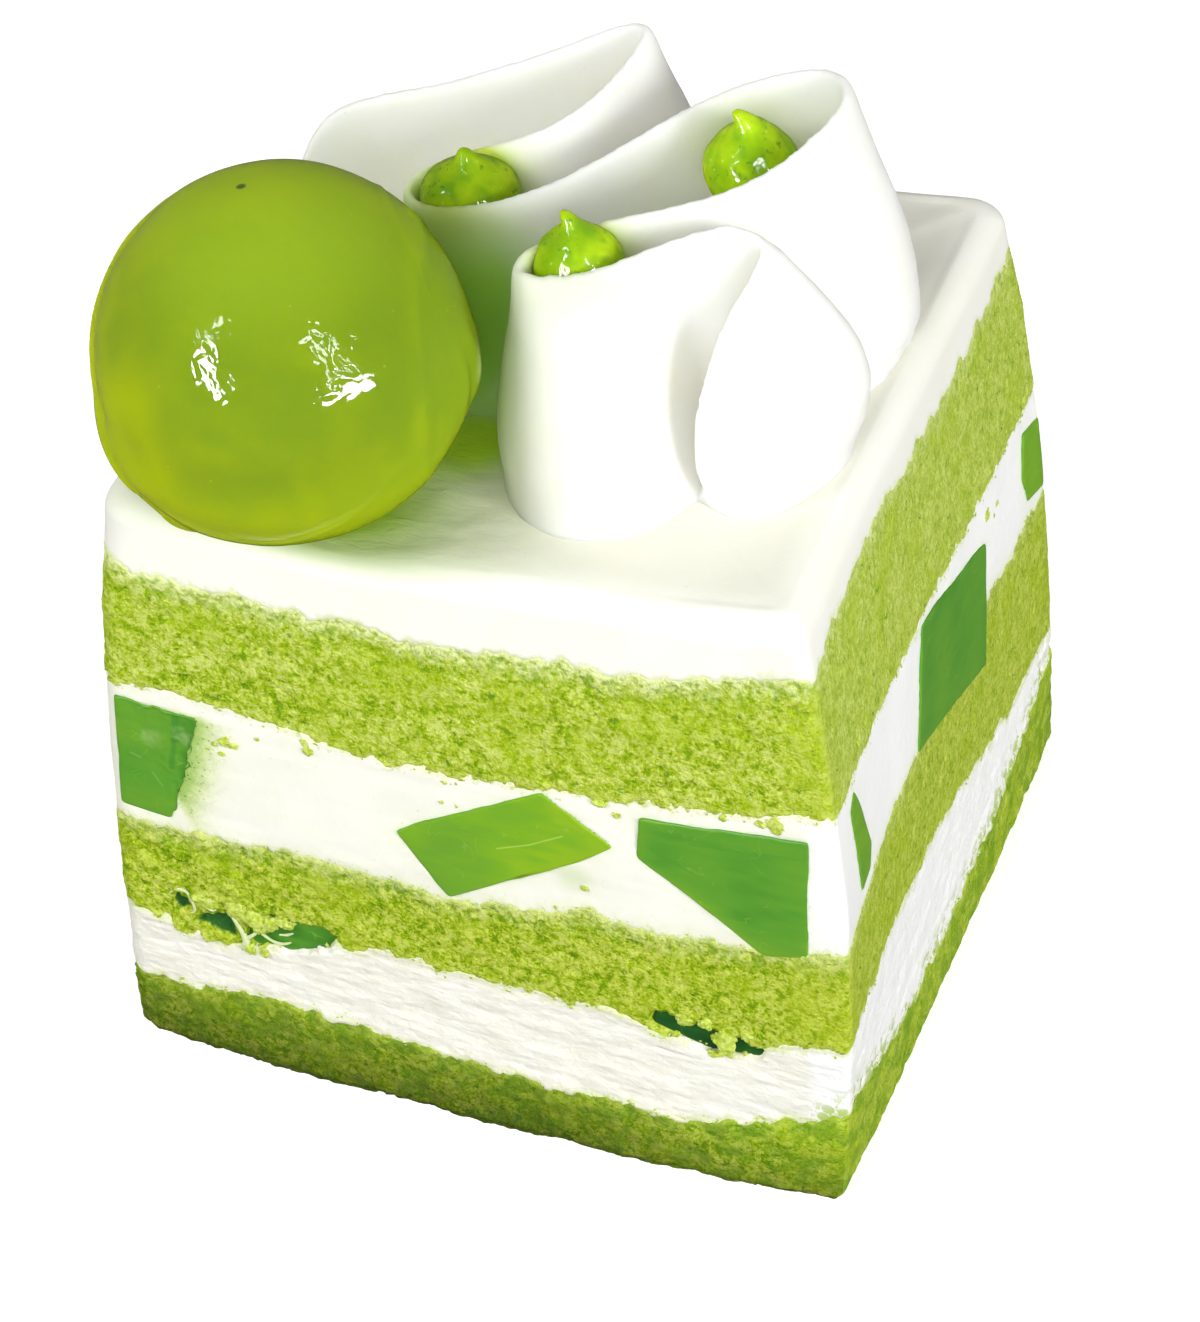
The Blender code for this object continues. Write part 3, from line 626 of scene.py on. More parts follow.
def build_jelly(name, face, outline, depth, slant, material):
    """A block of jelly opened by the knife: a wavy cut face with a fine round
    edge, straight sides and a closed inner end."""
    thin = name.startswith("jelly_low")
    torn = name == "jelly_front_left"      # its right side is torn, not cut
    pts = np.array(outline, float)
    area = 0.5 * np.sum(pts[:, 0] * np.roll(pts[:, 1], -1) - np.roll(pts[:, 0], -1) * pts[:, 1])
    if area < 0:
        pts = pts[::-1]
    dense = []
    for a, b in zip(pts, np.roll(pts, -1, axis=0)):
        n = max(6, int(np.linalg.norm(b - a) / 0.20))
        dense += [a + (b - a) * i / n for i in range(n)]
    dense = np.array(dense)
    for _ in range(3):                 # takes the point off each corner
        dense = 0.25 * np.roll(dense, 1, axis=0) + 0.5 * dense + 0.25 * np.roll(dense, -1, axis=0)
    n = len(dense)
    centre = dense.mean(axis=0)
    radius = np.linalg.norm(dense - centre, axis=1)[:, None]
    seed = 400 + sum(ord(c) for c in name)
    flat3 = np.column_stack((dense, np.full(n, seed)))
    wobble = 0.09 * noise(flat3 / 1.9, seed)
    if torn:
        right = smooth((dense[:, 0] + 26.5 + 0.28 * (dense[:, 1] - 29.0)) / 1.2)
        wobble = wobble + right * (0.34 * noise(flat3 / 0.9, seed + 8) + 0.10 * noise(flat3 / 0.45, seed + 9))
    dense = dense + (dense - centre) / radius * wobble[:, None]
    outward = np.array((0.0, -1.0, 0.0)) if face == "front" else np.array((1.0, 0.0, 0.0))
    side = np.array((1.0, 0.0, 0.0)) if face == "front" else np.array((0.0, 1.0, 0.0))
    slope = (side * slant[0] + np.array((0.0, 0.0, 1.0)) * slant[1]) / depth
    sunk = 0.55 if thin else 0.0
    rings, flats = [], []
    reach = float(radius.mean())
    scales = [max(0.0, 1.0 - d / reach) for d in np.arange(0.52, reach, 0.36)]
    steps = [(0.0, -0.30), (0.015, -0.14), (0.06, -0.04), (0.14, 0.025), (0.28, 0.05)]
    for pull, out in steps:
        flat = dense - (dense - centre) / radius * pull
        flats.append(flat)
        rings.append(on_face(face, flat[:, 0], flat[:, 1]) + outward * (out - sunk))
    for sc in scales:
        flat = centre + (dense - centre) * sc
        flats.append(flat)
        rings.append(on_face(face, flat[:, 0], flat[:, 1]) + outward * (0.055 - sunk))
    tones = []
    for i, flat in enumerate(flats):
        q = np.column_stack((flat, np.full(n, seed)))
        rim = np.linalg.norm(flat - dense, axis=1)
        if i >= 4:
            wave = 0.045 * noise(rings[i] / 3.1, seed + 1) + 0.014 * noise(rings[i] / 0.9, seed + 2)
            if torn:
                right = smooth((flat[:, 0] + 26.5 + 0.28 * (flat[:, 1] - 29.0)) / 1.6)
                wave = wave - 0.10 * right + 0.06 * right * noise(rings[i] / 0.55, seed + 3)
            rings[i] = rings[i] + outward * wave[:, None]
        tone = JELLY_TONE[name] + 0.10 * noise(q / 4.2, seed + 4) + 0.05 * noise(q / np.array((2.4, 0.7, 1.0)), seed + 5)
        angle = np.arctan2(flat[:, 1] - centre[1], flat[:, 0] - centre[0])
        if name == "jelly_front_right":      # lighter along its left and lower edge
            tone = tone + 0.34 * np.exp(-rim / 0.8) * smooth(0.5 - 0.9 * np.cos(angle - 0.9))
        elif name == "jelly_front_middle":
            tone = tone + 0.012 * (flat[:, 0] - centre[0]) + 0.16 * np.exp(-rim / 0.7) * smooth(np.cos(angle))
        elif torn:
            tone = tone - 0.15 * smooth((flat[:, 0] + 25.2) / 1.2) + 0.10 * np.exp(-rim / 0.4) * smooth(-np.cos(angle))
        elif name == "jelly_right_middle":
            tone = tone + 0.25 * np.exp(-rim / 0.7) * smooth(-np.cos(angle) - 0.2)
        dark_rim = 0.12 if not thin else 0.0
        tones.append(tone - dark_rim * np.exp(-rim / 0.16))
    rings = rings[::-1]                # from the middle of the cut outwards
    tones = tones[::-1]
    tip = rings[0].mean(axis=0)
    deep = []
    start = rings[-1]
    for d in (0.8, 0.25 * depth, 0.5 * depth, 0.75 * depth, depth - 0.35):
        deep.append(start - (outward - slope) * d)
    back = deep[-1].mean(axis=0)
    deep.append(back + (deep[-1] - back) * 0.96 - outward * 0.3)
    deep.append(back + (deep[-1] - back) * 0.6 - outward * 0.1)
    rings += deep
    tones += [np.full(n, JELLY_TONE[name])] * len(deep)
    grid = np.stack(rings)
    count = len(rings)
    verts = np.concatenate((grid.reshape(-1, 3), tip[None, :], back[None, :] - outward[None, :] * 0.4))
    faces = wall_faces(count, n)
    cols = np.arange(n)
    nxt = (cols + 1) % n
    head = np.stack((nxt, cols, np.full(n, count * n)), axis=1)
    last = (count - 1) * n
    foot = np.stack((last + cols, last + nxt, np.full(n, count * n + 1)), axis=1)
    tone = np.concatenate([np.concatenate(tones), [tones[0].mean(), JELLY_TONE[name]]])
    mesh = make_mesh(name, verts, [faces, np.concatenate((head, foot))], {"tone": tone})
    fix_normals(mesh)
    return place(name + "_cube", mesh, material, [name])


def fix_normals(mesh):
    bm = bmesh.new()
    bm.from_mesh(mesh)
    bmesh.ops.recalc_face_normals(bm, faces=bm.faces)
    bm.to_mesh(mesh)
    bm.free()
    mesh.shade_smooth()


# ------------------------------------------------------------------- melon ball


def unit(azimuth, elevation):
    """Direction by azimuth from the front towards the right, and elevation."""
    a, e = math.radians(azimuth), math.radians(elevation)
    return np.array((math.sin(a) * math.cos(e), -math.cos(a) * math.cos(e), math.sin(e)))


# how far the glaze has run out over the cream round the ball, by azimuth
GLAZE_FOOT = ((-180, 11.4), (-110, 12.0), (-58, 12.2), (-45, 11.7), (-31, 10.7), (-11, 9.9), (18, 9.3), (46, 9.9),
              (67, 10.9), (83, 11.6), (101, 11.9), (115, 12.1), (150, 11.8), (180, 11.4))


def angle_from(d, azimuth, elevation):
    """Angle in degrees between directions d and one direction."""
    return np.degrees(np.arccos(np.clip(d @ unit(azimuth, elevation), -1.0, 1.0)))


def build_ball(material):
    bm = bmesh.new()
    bmesh.ops.create_icosphere(bm, subdivisions=7, radius=1.0)
    mesh = bpy.data.meshes.new("melon_ball")
    bm.to_mesh(mesh)
    bm.free()
    co = np.zeros(len(mesh.vertices) * 3)
    mesh.vertices.foreach_get("co", co)
    d = co.reshape(-1, 3)
    d = d / np.linalg.norm(d, axis=1)[:, None]
    around = np.arctan2(d[:, 1], d[:, 0])
    azimuth = np.degrees(np.arctan2(d[:, 0], -d[:, 1]))
    elevation = np.degrees(np.arcsin(np.clip(d[:, 2], -1.0, 1.0)))
    low = smooth((-d[:, 2] - 0.02) / 0.36) * smooth((0.86 + d[:, 2]) / 0.30)
    wave = (0.5 + 0.5 * np.cos(around + math.radians(138.0))) ** 2
    r = BALL_RADIUS + 0.95 * low * wave
    r += 0.12 * np.sin(3.0 * around + 1.0) * (1.0 - d[:, 2] ** 2)
    r += 0.09 * noise(d * 2.3, 501) + 0.035 * noise(d * 5.0, 502)
    # the lower edge of the thick glaze, a step that runs down to the left
    step = -0.72 * (azimuth + 41.0) - 0.69 * (elevation + 18.5)
    step = step + 1.6 * noise(d * 5.0, 503)
    band = smooth((azimuth + 112.0) / 25.0) * smooth((6.0 - azimuth) / 18.0) * smooth((elevation + 46.0) / 8.0)
    r += (0.34 * smooth((step + 1.0) / 3.0) + 0.10 * np.exp(-(step / 1.6) ** 2)) * band
    r -= 0.55 * np.exp(-(angle_from(d, -33.0, -30.0) / 4.5) ** 2)
    # a flatter band down the right side, as the scoop left it
    away = angle_from(d, 111.0, -2.0)
    away = away + 1.8 * noise(d * 3.0, 504)
    r -= 0.15 * smooth((43.0 - away) / 7.0)
    r += 0.045 * np.exp(-((away - 43.5) / 1.8) ** 2) * smooth((elevation + 6.0) / 12.0)
    # runs of glaze at the right edge, and the film across to the cream
    r += 0.30 * np.exp(-((azimuth - 103.0) / 5.0) ** 2 - ((elevation + 3.0) / 15.0) ** 2)
    r += 0.20 * np.exp(-((azimuth - 93.0) / 3.0) ** 2 - ((elevation + 1.0) / 13.0) ** 2)
    r += 0.30 * np.exp(-(angle_from(d, 112.0, -7.0) / 12.0) ** 4)
    r += 0.09 * np.exp(-((angle_from(d, 128.0, 12.0) - 37.0) / 1.4) ** 2) * smooth((elevation - 25.0) / 8.0)
    # crinkled glaze in the places that catch the light
    for direction, size in (((2.0, 32.0), 15.0), ((47.0, 34.0), 15.0)):
        patch = np.exp(-(angle_from(d, *direction) / size) ** 2)
        r += patch * 0.010 * noise(d * 13.0, 505)
    for direction, size, height in (((6.0, 7.0), 1.7, 0.11), ((-13.0, 48.0), 1.8, 0.11), ((57.0, 38.0), 1.6, 0.10),
                                    ((30.0, 2.0), 0.9, 0.05), ((70.0, 6.0), 0.9, 0.05), ((-25.0, -6.0), 0.8, 0.05)):
        r += height * np.exp(-(angle_from(d, *direction) / size) ** 2)
    r += 0.003 * noise(d * 20.0, 508)
    p = BALL_CENTRE + d * r[:, None]
    surface = top_height(p[:, 0], p[:, 1])
    height = p[:, 2] - surface
    p[:, 2] = np.where(height < -0.25, surface - 0.25, p[:, 2])
    # the foot of the glaze spreads in a thin film with a round edge
    rho = np.hypot(p[:, 0] - BALL_CENTRE[0], p[:, 1] - BALL_CENTRE[1])
    table = np.array(GLAZE_FOOT)
    reach = np.interp(azimuth, table[:, 0], table[:, 1]) + 0.18 * noise(d * 4.0, 509)
    spread = (reach - 8.1) * np.exp(-np.maximum(height, 0.0) / 0.75) * np.minimum(1.0, rho / 8.0)
    grow = (rho + spread) / np.maximum(rho, 1e-6)
    p[:, 0] = BALL_CENTRE[0] + (p[:, 0] - BALL_CENTRE[0]) * grow
    p[:, 1] = BALL_CENTRE[1] + (p[:, 1] - BALL_CENTRE[1]) * grow
    floor = top_height(p[:, 0], p[:, 1]) - 0.25
    p[:, 2] = np.where(height < 0.4, np.maximum(p[:, 2], floor), p[:, 2])
    # greener and darker above and to the right, yellower and lighter below and to the left: part the melon's own
    # colour, part painted light falling from the left
    tone = 0.52 - 0.34 * (d @ unit(75.0, 38.0)) + 0.16 * noise(d * 1.9 + 0.5 * noise(d * 2.5, 520)[:, None], 521)
    tone += 0.10 * noise(d * 4.6 + 0.7 * noise(d * 3.0, 523)[:, None], 522)
    tone -= 0.12 * smooth((43.0 - away) / 3.0)
    # painted light: a lighter line along the edge of the flatter band
    tone += 0.12 * np.exp(-((away - 46.0) / 3.5) ** 2) * smooth((elevation + 10.0) / 15.0)
    mesh.vertices.foreach_set("co", (p * MM).ravel())
    layer = mesh.attributes.new("tone", "FLOAT", "POINT")
    layer.data.foreach_set("value", tone.astype(np.float32))
    mesh.update()
    mesh.shade_smooth()
    return place("melon_ball_glazed", mesh, material, ["melon_ball"])


# ----------------------------------------------------------------------- ribbon


def ribbon_path(steps):
    samples = []
    for index, (_, ll, lr, bow, sway, fl, fr, bl, br) in enumerate(SHEETS):
        order = list(range(steps + 1))
        if index % 2 == 1:
            order = order[::-1]
        for i in order:
            t = i / steps
            wave = bow * math.sin(math.pi * t) + sway * math.sin(2.0 * math.pi * t)
            lip = [a + (b - a) * t for a, b in zip(ll, lr)]
            lip[1] += wave
            foot = [a + (b - a) * t for a, b in zip(fl, fr)]
            foot[1] += 0.8 * wave
            belly = [a * (1.0 - t) ** 3 + b * t ** 3 for a, b in zip(bl, br)]
            if index == 4:
                front = math.sin(math.pi * min(t / 0.60, 1.0))
                back = math.sin(math.pi * min(max((t - 0.36) / 0.39, 0.0), 1.0))
                meet = math.sin(math.pi * min(max((t - 0.60) / 0.40, 0.0), 1.0))
                belly[1] += FRONT_SWELL * front - HOLLOW * back + RISE_TO_TAIL * meet
                foot[1] += 0.2 * front - 0.5 * back
            if index == 0:
                belly[1] -= 1.2 * math.sin(math.pi * t)
                lip[2] -= 1.5 * math.sin(math.pi * min(1.0, t * 1.15)) ** 1.3
                rise = min(1.0, t / START_ROUND)
                lip[2] *= 0.35 + 0.65 * math.sqrt(1.0 - (1.0 - rise) ** 2)
            high = smooth((t - 0.72) / 0.28) if index == 4 else 0.0
            samples.append(lip + foot + belly + [1.0, 0.85 + 0.40 * float(high)])
    for i in range(1, steps + 1):
        t = i / steps
        lip = [float(through([s[0][c] for s in TAIL], t)) for c in range(3)]
        foot = [float(through([s[1][c] for s in TAIL], t)) for c in range(2)]
        belly = [float(through([s[2][c] for s in TAIL], t)) for c in range(2)]
        samples.append(lip + foot + belly + [0.2, 1.25])
    flat = np.array(samples)
    for _ in range(int(round(5 * (steps / 26.0) ** 2))):
        flat[1:-1] = (flat[:-2] + 2.0 * flat[1:-1] + flat[2:]) / 4.0
    return flat


def build_ribbon(material):
    steps = 56
    path = ribbon_path(steps)
    n = len(path)
    heights = np.array([0.0, 0.1, 0.2, 0.3, 0.4, 0.5, 0.6, 0.68, 0.76, 0.83, 0.89, 0.93, 0.96, 0.98, 0.995])
    thick = LIP + (SHEET_FOOT - LIP) * (1.0 - smooth(heights / 0.92)) ** 0.9
    thick *= np.where(heights > 0.9, np.sqrt(np.maximum(0.0, 1.0 - ((heights - 0.9) / 0.105) ** 2)), 1.0)
    reach = 4
    rings = []
    turn_c, turn_s = math.cos(math.radians(RIBBON_TURN)), math.sin(math.radians(RIBBON_TURN))
    for i in range(n):
        lp, lq, lz, fp, fq, bp, bq, keep, peak = path[i]
        a, b = path[max(0, i - reach)], path[min(n - 1, i + reach)]
        ring = []
        for side, hs, th in ((1.0, heights, thick), (-1.0, heights[::-1], thick[::-1])):
            share = hs * keep
            tp = (b[0] - a[0]) * share + (b[3] - a[3]) * (1.0 - share)
            tq = (b[1] - a[1]) * share + (b[4] - a[4]) * (1.0 - share)
            size = np.maximum(np.hypot(tp, tq), 1e-6)
            swell = np.sin(np.pi * hs ** peak)
            p = fp + (lp - fp) * hs + bp * swell + side * th / 2.0 * (-tq / size)
            q = fq + (lq - fq) * hs + bq * swell + side * th / 2.0 * (tp / size)
            z = TOP_LEVEL - 3.0 + (lz + 3.0) * hs
            ring.append(np.stack((p * turn_c + q * turn_s, p * turn_s - q * turn_c, z), axis=1))
        rings.append(np.concatenate(ring))
    grid = np.stack(rings)
    m = grid.shape[1]
    faces = wall_faces(n, m)
    verts = np.concatenate((grid.reshape(-1, 3), grid[0].mean(axis=0)[None], grid[-1].mean(axis=0)[None]))
    cols = np.arange(m)
    nxt = (cols + 1) % m
    head = np.stack((nxt, cols, np.full(m, n * m)), axis=1)
    foot = np.stack(((n - 1) * m + cols, (n - 1) * m + nxt, np.full(m, n * m + 1)), axis=1)
    mesh = make_mesh("ribbon_sheet", verts, [faces, np.concatenate((head, foot))])
    fix_normals(mesh)
    raw = bpy.data.objects.new("ribbon_sheet", mesh)
    bpy.context.scene.collection.objects.link(raw)
    remesh = raw.modifiers.new("join_rows", "REMESH")
    remesh.mode = "VOXEL"
    remesh.voxel_size = 0.30 * MM
    graph = bpy.context.evaluated_depsgraph_get()
    done = bpy.data.meshes.new_from_object(raw.evaluated_get(graph))
    bpy.data.objects.remove(raw)
    done.name = "cream_ribbon"

    count = len(done.vertices)
    co = np.zeros(count * 3)
    done.vertices.foreach_get("co", co)
    edges = np.zeros(len(done.edges) * 2, np.int64)
    done.edges.foreach_get("vertices", edges)
    e0, e1 = edges.reshape(-1, 2).T
    p = co.reshape(-1, 3) / MM
    links = np.bincount(e0, minlength=count) + np.bincount(e1, minlength=count)
    # evens out the steps of the grid but keeps the thin lips
    for step in range(2 * RIBBON_PASSES + 6):
        mean = np.empty_like(p)
        for c in range(3):
            mean[:, c] = np.bincount(e0, p[e1, c], count) + np.bincount(e1, p[e0, c], count)
        mean /= links[:, None]
        last = step >= 2 * RIBBON_PASSES
        p = p + (0.5 if last or step % 2 == 0 else -0.52) * (mean - p)
    # creases, where one fold meets the next, are run over again
    done.vertices.foreach_set("co", (p * MM).ravel())
    done.update()
    no = np.zeros(count * 3)
    done.vertices.foreach_get("normal", no)
    normal = no.reshape(-1, 3)

    def neighbours(values):
        return (np.bincount(e0, values[e1], count) + np.bincount(e1, values[e0], count)) / links

    mean = np.stack([neighbours(p[:, c]) for c in range(3)], axis=1)
    crease = smooth((((mean - p) * normal).sum(axis=1) - 0.006) / 0.03)
    for _ in range(5):
        crease = np.maximum(crease * 0.9, neighbours(crease) * 1.05)
    crease = smooth(crease)
    # so is the edge of the last fold, where its rows lie close together
    ends = np.concatenate([rings[i][13:17] for i in range(n) if path[i][7] < 0.8] + [rings[-1][::2]])
    some = np.where((np.abs(p - ends.mean(axis=0)) < 20.0).all(axis=1))[0]
    gap = np.full(len(some), 99.0)
    for q in ends:
        gap = np.minimum(gap, np.linalg.norm(p[some] - q, axis=1))
    crease[some] = np.maximum(crease[some], smooth((1.9 - gap) / 1.1))
    for _ in range(30):
        mean = np.stack([neighbours(p[:, c]) for c in range(3)], axis=1)
        p = p + 0.55 * crease[:, None] * (mean - p)
    done.vertices.foreach_set("co", (p * MM).ravel())
    done.update()
    no = np.zeros(count * 3)
    done.vertices.foreach_get("normal", no)
    normal = no.reshape(-1, 3)
    relief = 0.08 * noise(p / 4.6, 601) + 0.022 * noise(p / 1.4, 602) + 0.006 * noise(p / 0.5, 603)
    pit, pit_id = cells(p / 3.4, 604)
    relief -= 0.16 * smooth((0.085 * pit_id - pit) / 0.05) * (pit_id > 0.55)
    p = p + normal * relief[:, None]
    # the right lobe stands on a slightly drawn-in foot
    foot = smooth((p[:, 0] - 20.0) / 1.5) * smooth((p[:, 1] + 2.0) / 2.0) * smooth((13.0 - p[:, 1]) / 2.0)
    foot = foot * smooth((65.9 - p[:, 2]) / 0.8) * (0.60 + 0.22 * noise(p / 1.4, 605))
    p[:, :2] -= normal[:, :2] * foot[:, None]
    surface = top_height(p[:, 0], p[:, 1])
    # the foot of the piping runs out on to the layer in a soft fillet
    height = p[:, 2] - surface
    flare = 0.55 * np.exp(-np.maximum(height, 0.0) / 0.8) * (1.0 - foot)
    p[:, :2] += normal[:, :2] * flare[:, None]
    p[:, 2] = np.maximum(p[:, 2], top_height(p[:, 0], p[:, 1]) - 0.5)
    away = p - BALL_CENTRE
    dist = np.linalg.norm(away, axis=1)
    keep = BALL_RADIUS + 0.12
    p = np.where((dist < keep)[:, None], BALL_CENTRE + away / dist[:, None] * keep, p)
    done.vertices.foreach_set("co", (p * MM).ravel())
    done.update()
    dense = bpy.data.objects.new("ribbon_dense", done)
    bpy.context.scene.collection.objects.link(dense)
    thin_out = dense.modifiers.new("thin_out", "DECIMATE")
    thin_out.ratio = 0.50
    graph = bpy.context.evaluated_depsgraph_get()
    light = bpy.data.meshes.new_from_object(dense.evaluated_get(graph))
    bpy.data.objects.remove(dense)
    light.name = "cream_ribbon_surface"
    light.shade_smooth()
    piped = place("cream_ribbon_piped", light, material, ["cream_ribbon"])
    piped.visible_glossy = False
    return piped


# ------------------------------------------------------------------------ drops


DROP_PROFILE = ((0.0, -0.42), (0.44, -0.40), (0.80, -0.28), (0.97, -0.10), (1.0, 0.02), (0.96, 0.12), (0.84, 0.23),
                (0.67, 0.325), (0.49, 0.405), (0.34, 0.475), (0.245, 0.53), (0.185, 0.58), (0.14, 0.62), (0.08, 0.65),
                (0.0, 0.655))


def build_drop(name, place_mm, width, height, lean, material):
    rows, columns = 56, 72
    centre = np.array(place_mm)
    t = np.linspace(0.0, 1.0, rows)
    profile = np.array(DROP_PROFILE)
    arc = np.concatenate(([0.0], np.cumsum(np.hypot(np.diff(profile[:, 0]) * width / 2.0, np.diff(profile[:, 1]) * height))))
    at = np.interp(t, arc / arc[-1], np.linspace(0.0, 1.0, len(profile)))
    ring_r = np.maximum(through(profile[:, 0], at), 0.0) * width / 2.0
    ring_z = through(profile[:, 1], at) * height
    around = np.linspace(0.0, 2.0 * np.pi, columns, endpoint=False)
    peak = smooth((ring_z / height - 0.36) / 0.40)
    seed = 700 + sum(ord(c) for c in name)
    P, A = np.meshgrid(t, around, indexing="ij")
    bend = lean[0] * (peak ** 1.5) * 1.3, lean[1] * (peak ** 1.5) * 1.3
    x = np.cos(A) * ring_r[:, None] + bend[0][:, None]
    y = np.sin(A) * ring_r[:, None] + bend[1][:, None]
    z = np.broadcast_to(ring_z[:, None], x.shape)
    grid = np.stack((x, y, z), axis=2)
    relief = 0.15 * noise((grid / 2.3).reshape(-1, 3) + seed, seed) + 0.05 * noise((grid / 0.9).reshape(-1, 3), seed + 1)
    grid = grid * (1.0 + (relief.reshape(P.shape) / (width / 2.0))[:, :, None] * (1.0 - 0.7 * peak)[:, None, None])
    grid = grid + centre
    body = grid[1:-1]
    count = body.shape[0]
    verts = np.concatenate((body.reshape(-1, 3), grid[0].mean(axis=0)[None], grid[-1].mean(axis=0)[None]))
    faces = wall_faces(count, columns)
    cols = np.arange(columns)
    nxt = (cols + 1) % columns
    foot = np.stack((nxt, cols, np.full(columns, count * columns)), axis=1)
    tip = np.stack(((count - 1) * columns + cols, (count - 1) * columns + nxt, np.full(columns, count * columns + 1)), axis=1)
    mesh = make_mesh(name, verts, [faces, np.concatenate((foot, tip))])
    fix_normals(mesh)
    return place(name + "_peaked", mesh, material, [name])


# ----------------------------------------------------------------------- crumbs


def build_crumbs(material):
    """Loose crumb stuck to the filling, one piece: (face, along, height, size)."""
    rng = np.random.default_rng(7)
    spots = [("front", -21.9, 37.5, 0.5), ("front", -21.2, 38.2, 0.45), ("front", -20.3, 38.8, 0.8),
             ("front", -19.5, 38.5, 0.9), ("front", -20.7, 37.3, 0.6), ("front", -17.2, 39.9, 0.45),
             ("front", -12.7, 40.0, 0.8), ("front", -12.9, 40.7, 0.7), ("front", -0.8, 39.9, 0.55),
             ("front", -1.2, 37.6, 0.5), ("front", 0.1, 37.5, 0.35), ("front", 12.6, 41.6, 1.0),
             ("front", 13.9, 40.6, 0.6), ("front", 22.9, 43.0, 0.6), ("front", 27.2, 43.4, 1.1),
             ("front", 26.0, 43.2, 0.7), ("front", 10.8, 31.5, 0.5), ("right", 14.0, 40.0, 0.9),
             ("right", 15.5, 38.6, 0.5), ("right", 16.5, 39.2, 0.6)]
    spots += [("front", x, z, d) for x, z, d in (
        (-21.2, 18.7, 2.0), (-19.9, 18.2, 2.1), (-18.5, 18.0, 1.9), (-17.3, 18.4, 1.7), (-19.5, 17.1, 1.2),
        (-24.6, 19.0, 1.5), (-20.7, 14.3, 1.3), (-19.4, 14.3, 1.1), (18.8, 18.8, 1.2), (20.6, 18.7, 1.3),
        (22.2, 17.4, 1.9), (22.3, 16.0, 1.5), (24.2, 18.5, 1.1), (21.4, 15.4, 1.0))]
    for k, face, n, spread in ((3, "front", 44, 0.35), (2, "front", 40, 0.30), (0, "front", 60, 0.35), (1, "front", 50, 0.35),
                               (3, "right", 60, 0.30), (2, "right", 40, 0.28), (0, "right", 70, 0.40), (1, "right", 50, 0.30)):
        for s in rng.uniform(-0.96, 0.96, n):
            u = np.array([s]) if face == "front" else np.array([1.0])
            v = np.array([-1.0]) if face == "front" else np.array([s])
            z = level(k, u, v)
            x, y = plan(u, v, z)
            z = float((z + border_noise(x, y, k))[0])
            hang = abs(rng.normal(0.0, spread)) + 0.05
            z = z - hang if k in (1, 3) else z + hang
            x, y = plan(u, v, np.array([z]))
            along = float(x[0]) if face == "front" else float(y[0])
            spots.append((face, along, z, float(rng.uniform(0.12, 0.32))))
    shapes = []
    for fineness in (2, 4):
        template = bmesh.new()
        bmesh.ops.create_icosphere(template, subdivisions=fineness, radius=1.0)
        shapes.append((np.array([v.co[:] for v in template.verts]),
                       np.array([[v.index for v in f.verts] for f in template.faces])))
        template.free()
    verts, faces, total = [], [], 0
    for i, (face, along, z, size) in enumerate(spots):
        covered = any(f == face and float(inside_outline(np.array([along]), np.array([z]), o, -0.1)[0]) > 0.0
                      for n, f, o, _, _ in JELLIES if not n.startswith("jelly_low"))
        if covered:
            continue
        ball, tri = shapes[1 if size > 0.55 else 0]
        base = on_face(face, np.array([along]), np.array([z]))[0]
        outward = np.array((0.0, -1.0, 0.0)) if face == "front" else np.array((1.0, 0.0, 0.0))
        bump = 1.0 + 0.42 * noise(ball * 1.5 + 11.0 * i, 800) + 0.30 * noise(ball * 3.6 + 5.0 * i, 801)
        stretch = rng.uniform(0.65, 1.35, 3)
        shape = ball * bump[:, None] * stretch * (size / 2.0)
        flat = 0.50 if size > 0.75 else 0.35          # pressed into the cut face
        shape = shape - outward * ((shape @ outward) * (1.0 - flat))[:, None]
        verts.append(base - outward * (0.03 * size + 0.05) + shape)
        faces.append(tri + total)
        total += len(ball)
    mesh = make_mesh("loose_crumbs", np.concatenate(verts), np.concatenate(faces))
    return place("loose_crumbs", mesh, material, [])


